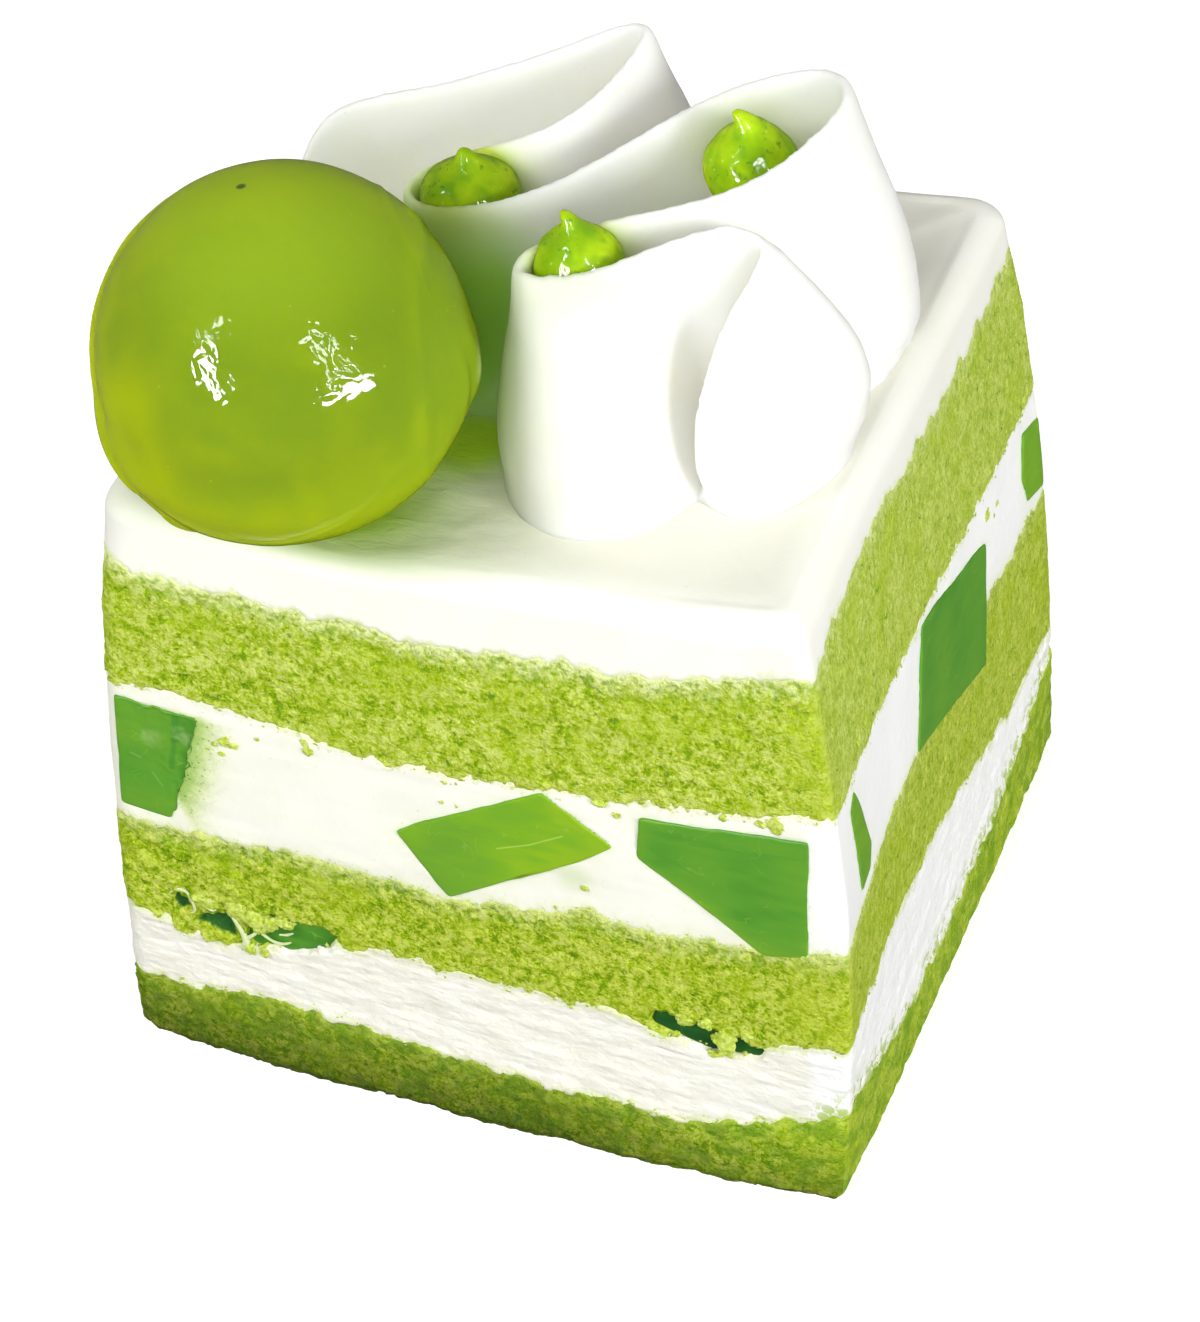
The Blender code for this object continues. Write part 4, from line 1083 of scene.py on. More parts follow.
def build_strands(material):
    """Threads of cream drawn across the thin pocket at the lower left."""
    lines = (
        (((-22.5, 19.0), (-22.0, 17.9), (-21.5, 16.7), (-21.1, 15.6), (-21.0, 14.9), (-21.5, 13.9)), (0.16, 0.22, 0.30, 0.42, 0.40, 0.24)),
        (((-21.1, 15.4), (-20.4, 15.9), (-19.8, 16.6), (-19.4, 17.2)), (0.30, 0.18, 0.16, 0.10)),
        (((-19.6, 16.9), (-18.9, 16.2), (-18.2, 15.8), (-17.4, 15.9), (-16.6, 16.4)), (0.13, 0.17, 0.20, 0.18, 0.10)),
        (((-17.7, 17.0), (-17.0, 17.1), (-16.3, 17.6)), (0.12, 0.16, 0.10)),
        (((-27.7, 18.9), (-27.0, 19.6), (-26.1, 19.5), (-25.7, 18.6), (-25.5, 17.5), (-25.9, 17.0)), (0.12, 0.18, 0.16, 0.16, 0.13, 0.08)),
        (((-24.6, 18.4), (-23.9, 17.9), (-23.4, 18.2)), (0.10, 0.14, 0.08)),
    )
    verts, faces, offset = [], [], 0
    sides = 10
    turn = np.linspace(0.0, 2.0 * np.pi, sides, endpoint=False)
    for line, radii in lines:
        n = 26
        t = np.linspace(0.0, 1.0, n)
        a = through([q[0] for q in line], t)
        h = through([q[1] for q in line], t)
        r = 0.85 * np.maximum(through(radii, t), 0.04) * np.minimum(1.0, 0.25 + 3.0 * np.minimum(t, 1.0 - t) ** 0.6)
        path = on_face("front", a, h) + np.array((0.0, -0.02, 0.0))
        path[:, 1] += 0.10 * np.sin(np.linspace(0.0, 3.0, n))
        tangent = np.gradient(path, axis=0)
        tangent /= np.linalg.norm(tangent, axis=1)[:, None]
        out = np.array((0.0, -1.0, 0.0))
        across = np.cross(tangent, out)
        across /= np.linalg.norm(across, axis=1)[:, None]
        bump = 1.0 + 0.22 * noise(path / 0.6, 851)
        ring = (path[:, None, :] + (across[:, None, :] * np.cos(turn)[None, :, None]
                + out * 0.7 * np.sin(turn)[None, :, None]) * (r * bump)[:, None, None])
        verts.append(ring.reshape(-1, 3))
        verts.append(np.stack((path[0] - tangent[0] * r[0], path[-1] + tangent[-1] * r[-1])))
        faces.append(wall_faces(n, sides) + offset)
        c = np.arange(sides)
        m = (c + 1) % sides
        tip = offset + n * sides
        last = offset + (n - 1) * sides
        faces.append(np.stack((offset + m, offset + c, np.full(sides, tip)), axis=1))
        faces.append(np.stack((last + c, last + m, np.full(sides, tip + 1)), axis=1))
        offset += n * sides + 2
    mesh = make_mesh("cream_threads", np.concatenate(verts), faces)
    fix_normals(mesh)
    return place("cream_threads", mesh, material, [])


# -------------------------------------------------------------------- materials


class Shader:
    """A small helper that writes a material's node tree."""

    def __init__(self, name):
        self.mat = bpy.data.materials.new(name)
        self.mat.use_nodes = True
        self.tree = self.mat.node_tree
        self.tree.nodes.clear()
        self.out = self.tree.nodes.new("ShaderNodeOutputMaterial")
        self.bsdf = self.tree.nodes.new("ShaderNodeBsdfPrincipled")
        self.join(self.bsdf.outputs[0], self.out.inputs[0])
        coord = self.tree.nodes.new("ShaderNodeTexCoord")
        scale = self.tree.nodes.new("ShaderNodeVectorMath")
        scale.operation = "SCALE"
        scale.inputs["Scale"].default_value = 1000.0
        self.join(coord.outputs["Object"], scale.inputs[0])
        self.mm = scale.outputs[0]

    def join(self, a, b):
        self.tree.links.new(a, b)

    def put(self, socket, value):
        if hasattr(value, "is_output"):
            self.join(value, socket)
        else:
            socket.default_value = value

    def node(self, kind, **props):
        n = self.tree.nodes.new("ShaderNode" + kind)
        for key, value in props.items():
            setattr(n, key, value)
        return n

    def attribute(self, name):
        n = self.node("Attribute", attribute_name=name)
        return n.outputs["Fac"]

    def stretched(self, vector, x, y, z):
        n = self.node("Mapping")
        n.inputs["Scale"].default_value = (x, y, z)
        self.join(vector, n.inputs["Vector"])
        return n.outputs[0]

    def noise(self, size, detail=2.0, rough=0.5, vector=None, distortion=0.0):
        n = self.node("TexNoise")
        self.join(vector or self.mm, n.inputs["Vector"])
        n.inputs["Scale"].default_value = 1.0 / size
        n.inputs["Detail"].default_value = detail
        n.inputs["Roughness"].default_value = rough
        n.inputs["Distortion"].default_value = distortion
        return n.outputs["Fac"]

    def voronoi(self, size, feature="F1", vector=None):
        n = self.node("TexVoronoi", feature=feature)
        self.join(vector or self.mm, n.inputs["Vector"])
        n.inputs["Scale"].default_value = 1.0 / size
        return n.outputs["Distance"]

    def math(self, op, a, b=0.0, c=None, clamp=False):
        n = self.node("Math", operation=op, use_clamp=clamp)
        self.put(n.inputs[0], a)
        self.put(n.inputs[1], b)
        if c is not None:
            self.put(n.inputs[2], c)
        return n.outputs[0]

    def ramp(self, value, low, high, to_low=0.0, to_high=1.0, smooth_step=True):
        n = self.node("MapRange", interpolation_type="SMOOTHSTEP" if smooth_step else "LINEAR")
        self.put(n.inputs["Value"], value)
        n.inputs["From Min"].default_value = low
        n.inputs["From Max"].default_value = high
        n.inputs["To Min"].default_value = to_low
        n.inputs["To Max"].default_value = to_high
        return n.outputs[0]

    def colours(self, value, stops):
        n = self.node("ValToRGB")
        self.put(n.inputs[0], value)
        elements = n.color_ramp.elements
        while len(elements) < len(stops):
            elements.new(0.5)
        for e, (pos, rgb) in zip(elements, stops):
            e.position = pos
            e.color = (*rgb, 1.0)
        return n.outputs["Color"]

    def mix(self, factor, a, b, mode="MIX"):
        n = self.node("Mix", data_type="RGBA", blend_type=mode)
        self.put(n.inputs[0], factor)
        self.put(n.inputs[6], a if hasattr(a, "is_output") else (*a, 1.0))
        self.put(n.inputs[7], b if hasattr(b, "is_output") else (*b, 1.0))
        return n.outputs[2]

    def bump(self, height, strength, distance_mm, normal=None):
        n = self.node("Bump")
        n.inputs["Strength"].default_value = strength
        n.inputs["Distance"].default_value = distance_mm * MM
        self.put(n.inputs["Height"], height)
        if normal is not None:
            self.join(normal, n.inputs["Normal"])
        return n.outputs[0]

    def distance_to(self, point_mm):
        n = self.node("VectorMath", operation="DISTANCE")
        self.join(self.mm, n.inputs[0])
        n.inputs[1].default_value = tuple(point_mm)
        return n.outputs["Value"]

    def axis(self, index):
        n = self.node("SeparateXYZ")
        self.join(self.mm, n.inputs[0])
        return n.outputs[index]

    def set(self, **values):
        for key, value in values.items():
            self.put(self.bsdf.inputs[key.replace("_", " ")], value)

    def soft(self, weight, radius_mm, scale=1.0):
        self.bsdf.subsurface_method = "RANDOM_WALK"
        self.bsdf.inputs["Subsurface Weight"].default_value = weight
        self.bsdf.inputs["Subsurface Radius"].default_value = tuple(r * MM for r in radius_mm)
        self.bsdf.inputs["Subsurface Scale"].default_value = scale


CREAM = (0.928, 0.928, 0.832)


def tinted(rgb, factor):
    return tuple(c * f for c, f in zip(rgb, factor))


def sponge_material(name, shade, haze_amount, painted_base_shade, contrast, haze_colour=(0.80, 0.87, 0.41)):
    s = Shader(name)
    pit, patch, side = s.attribute("pit"), s.attribute("patch"), s.attribute("side")
    above, below, wet = s.attribute("above"), s.attribute("below"), s.attribute("wet")
    clump = s.noise(1.5, 2.0, 0.6, distortion=0.4)
    middle = s.noise(0.66, 2.0, 0.6, distortion=0.5)
    fine = s.noise(0.27, 2.0, 0.65)
    f = s.math("MULTIPLY", s.math("SUBTRACT", clump, 0.5), 1.35)
    f = s.math("ADD", f, s.math("MULTIPLY", s.math("SUBTRACT", middle, 0.5), 2.0))
    f = s.math("ADD", f, s.math("MULTIPLY", s.math("SUBTRACT", fine, 0.5), 1.7))
    f = s.math("MULTIPLY", f, s.math("MULTIPLY", s.math("SUBTRACT", 1.0, s.math("MULTIPLY", side, 0.25)), contrast))
    f = s.math("ADD", f, s.math("MULTIPLY", pit, 0.34))
    pores = s.math("MULTIPLY", s.ramp(s.voronoi(0.62), 0.06, 0.26, 1.0, 0.0), s.ramp(middle, 0.46, 0.62))
    f = s.math("ADD", f, s.math("MULTIPLY", pores, 0.38))
    f = s.math("ADD", f, 0.39, clamp=True)
    pale, mid = tinted((0.600, 0.700, 0.170), shade), tinted((0.460, 0.570, 0.062), shade)
    deep, dusk = tinted((0.325, 0.470, 0.006), shade), tinted((0.160, 0.310, 0.006), shade)
    colour = s.colours(f, ((0.04, pale), (0.36, mid), (0.66, deep), (0.97, dusk)))
    # the cut on the right is paler and less marked
    colour = s.mix(s.math("MULTIPLY", side, 0.28), colour, tinted((0.545, 0.665, 0.195), shade))
    # broad, wetter and more saturated places
    wetter = s.ramp(s.noise(5.2, 2.0, 0.55), 0.47, 0.66, 0.0, 0.38)
    colour = s.mix(wetter, colour, tinted((0.395, 0.545, 0.012), shade))
    # a brighter, yellower band beside the near corner
    edge = s.math("MULTIPLY", s.ramp(s.axis(0), 26.0, 29.5), s.ramp(s.axis(1), -27.4, -26.4, 1.0, 0.0))
    colour = s.mix(s.math("MULTIPLY", edge, 0.25), colour, tinted((0.530, 0.650, 0.060), shade))
    # a few dark green pores
    rare = s.math("MULTIPLY", s.ramp(s.voronoi(2.3), 0.08, 0.17, 1.0, 0.0), s.ramp(fine, 0.40, 0.55))
    colour = s.mix(s.math("MULTIPLY", rare, 0.75), colour, tinted((0.090, 0.240, 0.025), shade))
    # darker clots of wet crumb below the upper border
    clots = s.math("MULTIPLY", s.ramp(s.noise(1.15, 2.0, 0.6, distortion=0.5), 0.50, 0.60), s.ramp(below, 1.2, 4.4, 1.0, 0.0))
    clots = s.math("MULTIPLY", clots, s.math("SUBTRACT", 1.0, s.math("MULTIPLY", side, 0.75)))
    colour = s.mix(s.math("MULTIPLY", clots, 0.50), colour, tinted((0.235, 0.420, 0.003), shade))
    # cream dragged over the crumb below the upper border, in teeth
    teeth = s.noise(0.60, 2.0, 0.6, s.stretched(s.mm, 1.0, 1.0, 0.45))
    haze = s.ramp(s.math("ADD", below, s.math("MULTIPLY", s.math("SUBTRACT", teeth, 0.5), 3.0)), 0.1, 2.1, 1.0, 0.0, smooth_step=False)
    hard = s.math("MAXIMUM", s.ramp(below, 0.0, 0.7, 1.0, 0.0), s.ramp(s.math("ADD", middle, s.math("MULTIPLY", pit, 0.12)), 0.42, 0.62, 1.0, 0.25))
    haze = s.math("MULTIPLY", haze, hard)
    haze = s.math("MULTIPLY", haze, s.math("SUBTRACT", 1.0, s.math("MULTIPLY", side, 0.55)))
    colour = s.mix(s.math("MULTIPLY", haze, haze_amount), colour, haze_colour)
    # a thin film along the lower one, yellower
    film = s.ramp(s.math("ADD", above, s.math("MULTIPLY", s.math("SUBTRACT", middle, 0.5), 1.6)), -0.1, 0.9, 1.0, 0.0)
    colour = s.mix(s.math("MULTIPLY", film, 0.45 * haze_amount), colour, (0.66, 0.74, 0.14))
    # dark green in the wet hollows: part jelly, part painted shade of the deep gap
    colour = s.mix(s.ramp(wet, 0.20, 0.75), colour, (0.030, 0.135, 0.022))
    if painted_base_shade:
        # painted shade: the crumb darkens towards its foot and towards the left, and the right cut face is lifted out
        # of it and painted lighter
        dim = s.ramp(s.math("ADD", s.axis(2), s.math("MULTIPLY", s.math("SUBTRACT", clump, 0.5), 5.0)), 0.8, 8.6, painted_base_shade, 1.0, smooth_step=False)
        dim = s.math("ADD", dim, s.ramp(s.axis(0), 2.0, 28.0, 0.0, 0.30))
        lump = s.ramp(s.noise(2.0, 1.0, 0.5), 0.40, 0.64, 1.0, 0.0)
        colour = s.mix(s.math("MULTIPLY", s.math("SUBTRACT", 1.0, lump), 0.55), colour, tinted((0.180, 0.370, 0.035), shade))
        shade_scale = s.node("VectorMath", operation="SCALE")
        s.join(colour, shade_scale.inputs[0])
        s.put(shade_scale.inputs["Scale"], s.math("MAXIMUM", dim, s.math("MULTIPLY", side, 1.22)))
        colour = shade_scale.outputs[0]
        # dark green patches, thickest towards the foot: part soaked crumb, part painted shade
        damp_and_shade = s.ramp(s.noise(0.95, 2.0, 0.6), 0.60, 0.70, 0.0, 0.7)
        damp_and_shade = s.math("MULTIPLY", damp_and_shade, s.math("SUBTRACT", 1.0, s.math("MULTIPLY", side, 0.8)))
        colour = s.mix(s.math("MULTIPLY", damp_and_shade, s.ramp(s.axis(2), 1.0, 9.0, 1.0, 0.15)), colour, (0.035, 0.100, 0.012))
    s.set(Base_Color=colour, Roughness=0.85)
    s.bsdf.inputs["Specular IOR Level"].default_value = 0.04
    grain = s.math("ADD", s.math("MULTIPLY", s.noise(0.52, 2.0, 0.6), 1.2), s.math("MULTIPLY", fine, -1.1))
    s.set(Normal=s.bump(grain, 0.85, 0.21))
    return s.mat


def cream_material(name, colour, rough, grain, kind):
    s = Shader(name)
    base = s.mix(s.ramp(s.noise(6.0, 2.0, 0.5), 0.35, 0.75), colour, tinted(colour, (0.985, 0.985, 0.950)))
    if kind in ("lower", "middle"):        # kind "thread" has none of these
        # painted light: whiter on the right cut face
        base = s.mix(s.ramp(s.axis(0), 29.0, 30.4), base, (0.975, 0.978, 0.955))
        above, below = s.attribute("above"), s.attribute("below")
        inside = s.math("MINIMUM", above, below)
        mottle = s.noise(0.55, 2.0, 0.6)
        film = s.ramp(s.math("ADD", inside, s.math("MULTIPLY", s.math("SUBTRACT", mottle, 0.5), 1.7 if kind == "middle" else 2.6)), 0.0, 0.85 if kind == "middle" else 1.25, 1.0, 0.0)
        base = s.mix(s.math("MULTIPLY", film, 0.42 if kind == "middle" else 0.62), base, (0.68, 0.76, 0.28))
        speck = s.ramp(s.math("ADD", s.noise(0.40, 2.0, 0.6), s.ramp(inside, 0.0, 1.5, 0.16, 0.0)), 0.70, 0.80)
        base = s.mix(s.math("MULTIPLY", speck, 0.6), base, (0.50, 0.62, 0.14))
        smear = s.attribute("smear")
        streak = s.noise(0.7, 2.0, 0.6, s.stretched(s.mm, 0.4, 0.4, 1.0))
        base = s.mix(s.math("MULTIPLY", smear, s.ramp(streak, 0.30, 0.72, 0.03, 0.36)), base, (0.62, 0.76, 0.32))
    if kind == "middle":
        stain = s.ramp(s.math("ADD", above, s.math("MULTIPLY", s.math("SUBTRACT", mottle, 0.5), 2.4)), 0.0, 2.3, 0.26, 0.0)
        base = s.mix(stain, base, (0.76, 0.84, 0.42))
        fray = s.attribute("fray")
        threads = s.noise(0.50, 3.0, 0.7, s.stretched(s.mm, 0.85, 0.85, 1.0))
        cover = s.ramp(s.math("ADD", fray, s.math("MULTIPLY", s.math("SUBTRACT", threads, 0.5), 0.75)), 0.10, 0.98)
        base = s.mix(s.math("MULTIPLY", s.ramp(fray, 0.02, 0.60), 0.60), base, (0.70, 0.80, 0.22))
        base = s.mix(s.math("MULTIPLY", cover, 0.80), base, (0.26, 0.48, 0.06))
        dots = s.math("MULTIPLY", s.ramp(s.voronoi(0.52), 0.16, 0.26, 1.0, 0.0), s.ramp(fray, 0.20, 0.60))
        base = s.mix(s.math("MULTIPLY", dots, 0.70), base, (0.10, 0.26, 0.05))
        patch = s.ramp(s.distance_to((9.9, -29.6, 32.3)), 0.4, 2.4, 1.0, 0.0)
        base = s.mix(s.math("MULTIPLY", patch, 0.45), base, (0.58, 0.72, 0.36))
    if kind == "lower":
        bubbles = s.attribute("bubbles")
        base = s.mix(s.math("MULTIPLY", s.ramp(bubbles, 0.25, 0.9), 0.75), base, (0.30, 0.42, 0.10))
        ashen = s.ramp(s.noise(1.6, 3.0, 0.7, s.stretched(s.mm, 0.6, 0.6, 1.0)), 0.42, 0.68, 0.0, 0.85)
        calm = s.ramp(s.axis(0), 12.0, 26.0, 1.0, 0.25)
        # crumb that shows through the cream low on the right cut face
        crumbs = s.math("MAXIMUM", s.ramp(s.voronoi(1.7), 0.28, 0.40, 1.0, 0.0), s.ramp(s.noise(0.85, 2.0, 0.6), 0.53, 0.61))
        thin = s.ramp(s.math("ADD", above, s.math("MULTIPLY", s.math("SUBTRACT", mottle, 0.5), 1.6)), 0.6, 3.8, 1.0, 0.0)
        thin = s.math("MULTIPLY", thin, s.ramp(s.axis(0), 29.0, 30.4))
        base = s.mix(s.math("MULTIPLY", s.math("MULTIPLY", crumbs, thin), 0.90), base, (0.44, 0.58, 0.12))
        base = s.mix(s.math("MULTIPLY", ashen, calm), base, tinted(colour, (0.92, 0.905, 0.855)))
        # dark green in the wet hollows: part jelly, part painted shade of the deep gap
        base = s.mix(s.ramp(s.attribute("wet"), 0.20, 0.75), base, (0.045, 0.170, 0.028))
    if kind in ("top", "piped"):
        reach = s.math("SUBTRACT", s.distance_to(BALL_CENTRE), BALL_RADIUS)
        if kind == "top":
            # painted shade: the flat top is made darker than its rim and walls
            base = s.mix(s.attribute("flat"), base, tinted(colour, (0.88, 0.875, 0.840)))
        # painted green light and shade from the ball on the cream beside it
        painted_ball_glow = s.math("POWER", 2.7183, s.math("MULTIPLY", reach, -1.0 / (3.0 if kind == "top" else 2.3)))
        side = s.ramp(s.axis(0), -19.0, -4.0, 0.84, 1.55)
        painted_ball_glow = s.math("MULTIPLY", painted_ball_glow, side, clamp=True)
        if kind == "top":
            painted_ball_glow = s.math("MULTIPLY", painted_ball_glow, s.ramp(s.axis(2), 59.2, 61.3))
        base = s.mix(painted_ball_glow, base, (0.27, 0.43, 0.010))
        # painted green shade cast by the ball, deepest in the gap between the ball and the piping
        if kind == "top":
            gap = s.ramp(s.distance_to((-3.2, -12.3, 61.4)), 1.8, 6.1, 1.0, 0.0)
            base = s.mix(gap, base, (0.50, 0.76, 0.040))
        else:
            foot = s.ramp(s.distance_to((-3.2, -12.3, 61.4)), 3.5, 9.5, 0.85, 0.0)
            gap = s.math("MULTIPLY", s.math("MAXIMUM", s.ramp(reach, 4.6, 9.6, 1.0, 0.0), foot), s.ramp(s.axis(1), -16.5, -11.0))
            gap = s.math("MULTIPLY", gap, s.ramp(s.axis(2), 71.5, 80.0, 1.0, 0.05))
            base = s.mix(s.math("MULTIPLY", gap, 0.93), base, (0.37, 0.70, 0.055))
    if kind == "top":
        above = s.attribute("above")
        mottle = s.noise(0.55, 2.0, 0.6)
        film = s.ramp(s.math("ADD", above, s.math("MULTIPLY", s.math("SUBTRACT", mottle, 0.5), 1.9)), -0.1, 0.70, 1.0, 0.0)
        base = s.mix(s.math("MULTIPLY", film, 0.55), base, (0.70, 0.78, 0.33))
    if kind == "piped":
        # painted green light from the gel drops on the cream beside them
        for _, place_mm, width, _, _ in DROPS:
            d = s.math("SUBTRACT", s.distance_to(place_mm), width / 2.0)
            near = s.math("MULTIPLY", s.math("POWER", 2.7183, s.math("MULTIPLY", d, -1.0 / 1.1)), 0.75, clamp=True)
            base = s.mix(near, base, (0.47, 0.62, 0.07))
    s.set(Base_Color=base, Roughness=rough)
    s.bsdf.inputs["Specular IOR Level"].default_value = 0.04
    if kind == "piped":
        s.soft(0.60, (3.0, 2.8, 2.2))
    height = s.math("MULTIPLY", s.noise(0.35, 3.0, 0.6), grain)
    pits = s.ramp(s.voronoi(1.9), 0.035, 0.10, 0.0, 1.0)
    height = s.math("ADD", height, s.math("MULTIPLY", pits, 0.5))
    normal = s.bump(height, 0.5, 0.10)
    if kind == "top":
        waves = s.noise(0.80, 2.0, 0.5, s.stretched(s.mm, 0.34, 1.0, 1.0), distortion=0.8)
        waves = s.math("MULTIPLY", waves, s.math("ADD", s.attribute("ripple"), 0.10))
        normal = s.bump(waves, 0.6, 0.14, normal)
    if kind == "lower":
        threads = s.noise(0.42, 3.0, 0.65, s.stretched(s.mm, 0.45, 0.45, 1.0), distortion=0.6)
        normal = s.bump(threads, 0.7, 0.16, normal)
        normal = s.bump(s.noise(0.9, 2.0, 0.6), 0.6, 0.16, normal)
    s.set(Normal=normal)
    return s.mat


def segment_distance(s, x, z, a, b):
    """Distance in the plane of the front face to a line from a to b, in mm."""
    d = (b[0] - a[0], b[1] - a[1])
    size = d[0] ** 2 + d[1] ** 2
    px, pz = s.math("SUBTRACT", x, a[0]), s.math("SUBTRACT", z, a[1])
    t = s.math("ADD", s.math("MULTIPLY", px, d[0] / size), s.math("MULTIPLY", pz, d[1] / size), clamp=True)
    qx = s.math("SUBTRACT", px, s.math("MULTIPLY", t, d[0]))
    qz = s.math("SUBTRACT", pz, s.math("MULTIPLY", t, d[1]))
    return s.math("SQRT", s.math("ADD", s.math("MULTIPLY", qx, qx), s.math("MULTIPLY", qz, qz)))


def jelly_material():
    s = Shader("jelly_wet")
    tone = s.attribute("tone")
    fine = s.noise(1.3, 3.0, 0.55, s.stretched(s.mm, 0.35, 0.35, 1.0))
    f = s.math("ADD", tone, s.math("MULTIPLY", s.math("SUBTRACT", fine, 0.5), 0.16))
    colour = s.colours(f, ((0.0, (0.012, 0.075, 0.018)), (0.30, (0.050, 0.200, 0.022)), (0.55, (0.105, 0.325, 0.031)),
                           (0.75, (0.155, 0.365, 0.031)), (0.92, (0.205, 0.435, 0.022)), (1.0, (0.270, 0.480, 0.020))))
    # thin pale scratches
    line = s.math("ABSOLUTE", s.math("SUBTRACT", s.noise(3.2, 1.0, 0.5, distortion=1.2), 0.5))
    few = s.ramp(s.noise(2.7, 0.0, 0.5, s.stretched(s.mm, 1.0, 1.0, 1.3)), 0.56, 0.66)
    colour = s.mix(s.math("MULTIPLY", s.math("MULTIPLY", s.ramp(line, 0.004, 0.012, 1.0, 0.0), few), 0.24), colour, (0.36, 0.58, 0.10))
    x, z = s.axis(0), s.axis(2)
    for a, b, wide, strength, tint in (
            ((-24.3, 41.2), (-24.9, 37.6), 0.30, 0.55, (0.045, 0.235, 0.030)),
            ((-24.9, 37.6), (-25.5, 34.4), 0.26, 0.50, (0.045, 0.235, 0.030)),
            ((-29.1, 35.1), (-28.2, 34.8), 0.10, 0.26, (0.42, 0.58, 0.18)),
            ((-27.3, 33.3), (-26.6, 32.0), 0.10, 0.22, (0.36, 0.54, 0.14)),
            ((3.4, 33.9), (6.2, 35.1), 0.07, 0.60, (0.50, 0.68, 0.12)),
            ((6.2, 35.1), (9.2, 37.0), 0.07, 0.55, (0.50, 0.68, 0.12)),
            ((16.7, 37.8), (20.8, 35.9), 0.10, 0.30, (0.07, 0.27, 0.03)),
            ((20.1, 39.4), (29.0, 40.4), 0.12, 0.25, (0.07, 0.27, 0.03))):
        d = segment_distance(s, x, z, a, b)
        wobble = s.math("ADD", d, s.math("MULTIPLY", s.math("SUBTRACT", fine, 0.5), wide * 1.5))
        front = s.ramp(s.axis(1), -27.5, -26.5, 1.0, 0.0)
        mask = s.math("MULTIPLY", s.ramp(wobble, wide * 0.4, wide * 1.6, strength, 0.0), front)
        colour = s.mix(mask, colour, tint)
    for point, wide, strength in (((-23.9, -28.9, 38.4), 1.15, 0.42), ((-27.0, -28.9, 37.3), 1.5, 0.26), ((-24.3, -28.9, 32.4), 1.0, 0.20)):
        d = s.math("ADD", s.distance_to(point), s.math("MULTIPLY", s.math("SUBTRACT", s.noise(1.1, 2.0, 0.6), 0.5), 2.2))
        colour = s.mix(s.ramp(d, 0.1, wide, strength, 0.0), colour, (0.45, 0.62, 0.25))
    s.set(Base_Color=colour, Roughness=0.28)
    s.bsdf.inputs["Specular IOR Level"].default_value = 0.05
    s.soft(0.20, (0.6, 1.4, 0.3))
    s.set(Normal=s.bump(s.noise(0.9, 2.0, 0.5), 0.15, 0.06))
    return s.mat


def ball_material():
    s = Shader("melon_glazed")
    tone = s.math("ADD", s.attribute("tone"), s.math("MULTIPLY", s.math("SUBTRACT", s.noise(2.2, 2.0, 0.5), 0.5), 0.10))
    colour = s.colours(tone, ((0.10, (0.192, 0.306, 0.015)), (0.30, (0.222, 0.328, 0.013)),
                              (0.46, (0.276, 0.378, 0.011)), (0.64, (0.345, 0.440, 0.007)),
                              (0.95, (0.440, 0.556, 0.004))))
    speck = s.ramp(s.voronoi(2.1), 0.035, 0.065, 1.0, 0.0)
    colour = s.mix(s.math("MULTIPLY", speck, 0.40), colour, (0.52, 0.62, 0.03))
    veins = s.ramp(s.noise(0.35, 2.0, 0.6), 0.40, 0.70, 0.0, 0.08)
    colour = s.mix(veins, colour, (0.18, 0.36, 0.01))
    # painted light: the top of the ball is made lighter
    painted_crown_light = s.ramp(s.axis(2), float(BALL_CENTRE[2]) + 8.0, float(BALL_CENTRE[2]) + 14.6, 0.0, 0.60)
    colour = s.mix(painted_crown_light, colour, (0.345, 0.500, 0.022))
    # painted light: the lower half is made lighter and yellower
    low = s.ramp(s.axis(2), float(BALL_CENTRE[2]) - 9.0, float(BALL_CENTRE[2]) + 1.0, 0.50, 0.0)
    colour = s.mix(low, colour, (0.450, 0.585, 0.006))
    dot = s.ramp(s.distance_to(BALL_CENTRE + BALL_RADIUS * unit(-118.0, 79.0)), 0.25, 0.50, 1.0, 0.0)
    colour = s.mix(s.math("MULTIPLY", dot, 0.85), colour, (0.02, 0.07, 0.02))
    film = s.ramp(s.distance_to(BALL_CENTRE + (BALL_RADIUS + 1.0) * unit(107.0, -4.0)), 0.6, 2.4, 0.7, 0.0)
    colour = s.mix(film, colour, (0.48, 0.62, 0.22))
    s.set(Base_Color=colour, Roughness=0.5)
    s.bsdf.inputs["Specular IOR Level"].default_value = 0.0
    s.soft(0.85, (7.0, 8.0, 0.8))
    s.bsdf.inputs["Coat Weight"].default_value = 0.8
    s.bsdf.inputs["Coat Roughness"].default_value = 0.008
    s.bsdf.inputs["Coat IOR"].default_value = 1.28
    # the skin of glaze is crinkled where it is thinnest
    left = s.ramp(s.distance_to(BALL_CENTRE + BALL_RADIUS * unit(2.5, 36.0)), 2.0, 4.8, 1.0, 0.10)
    right = s.ramp(s.distance_to(BALL_CENTRE + BALL_RADIUS * unit(44.0, 33.0)), 2.0, 4.8, 1.0, 0.10)
    where = s.math("MAXIMUM", left, right)
    skin = s.math("ADD", s.noise(1.35, 0.0, 0.5, distortion=1.4), s.math("MULTIPLY", s.noise(0.70, 0.0, 0.5, distortion=1.0), 0.22))
    s.join(s.bump(s.math("MULTIPLY", skin, where), 1.0, 0.070), s.bsdf.inputs["Coat Normal"])
    return s.mat


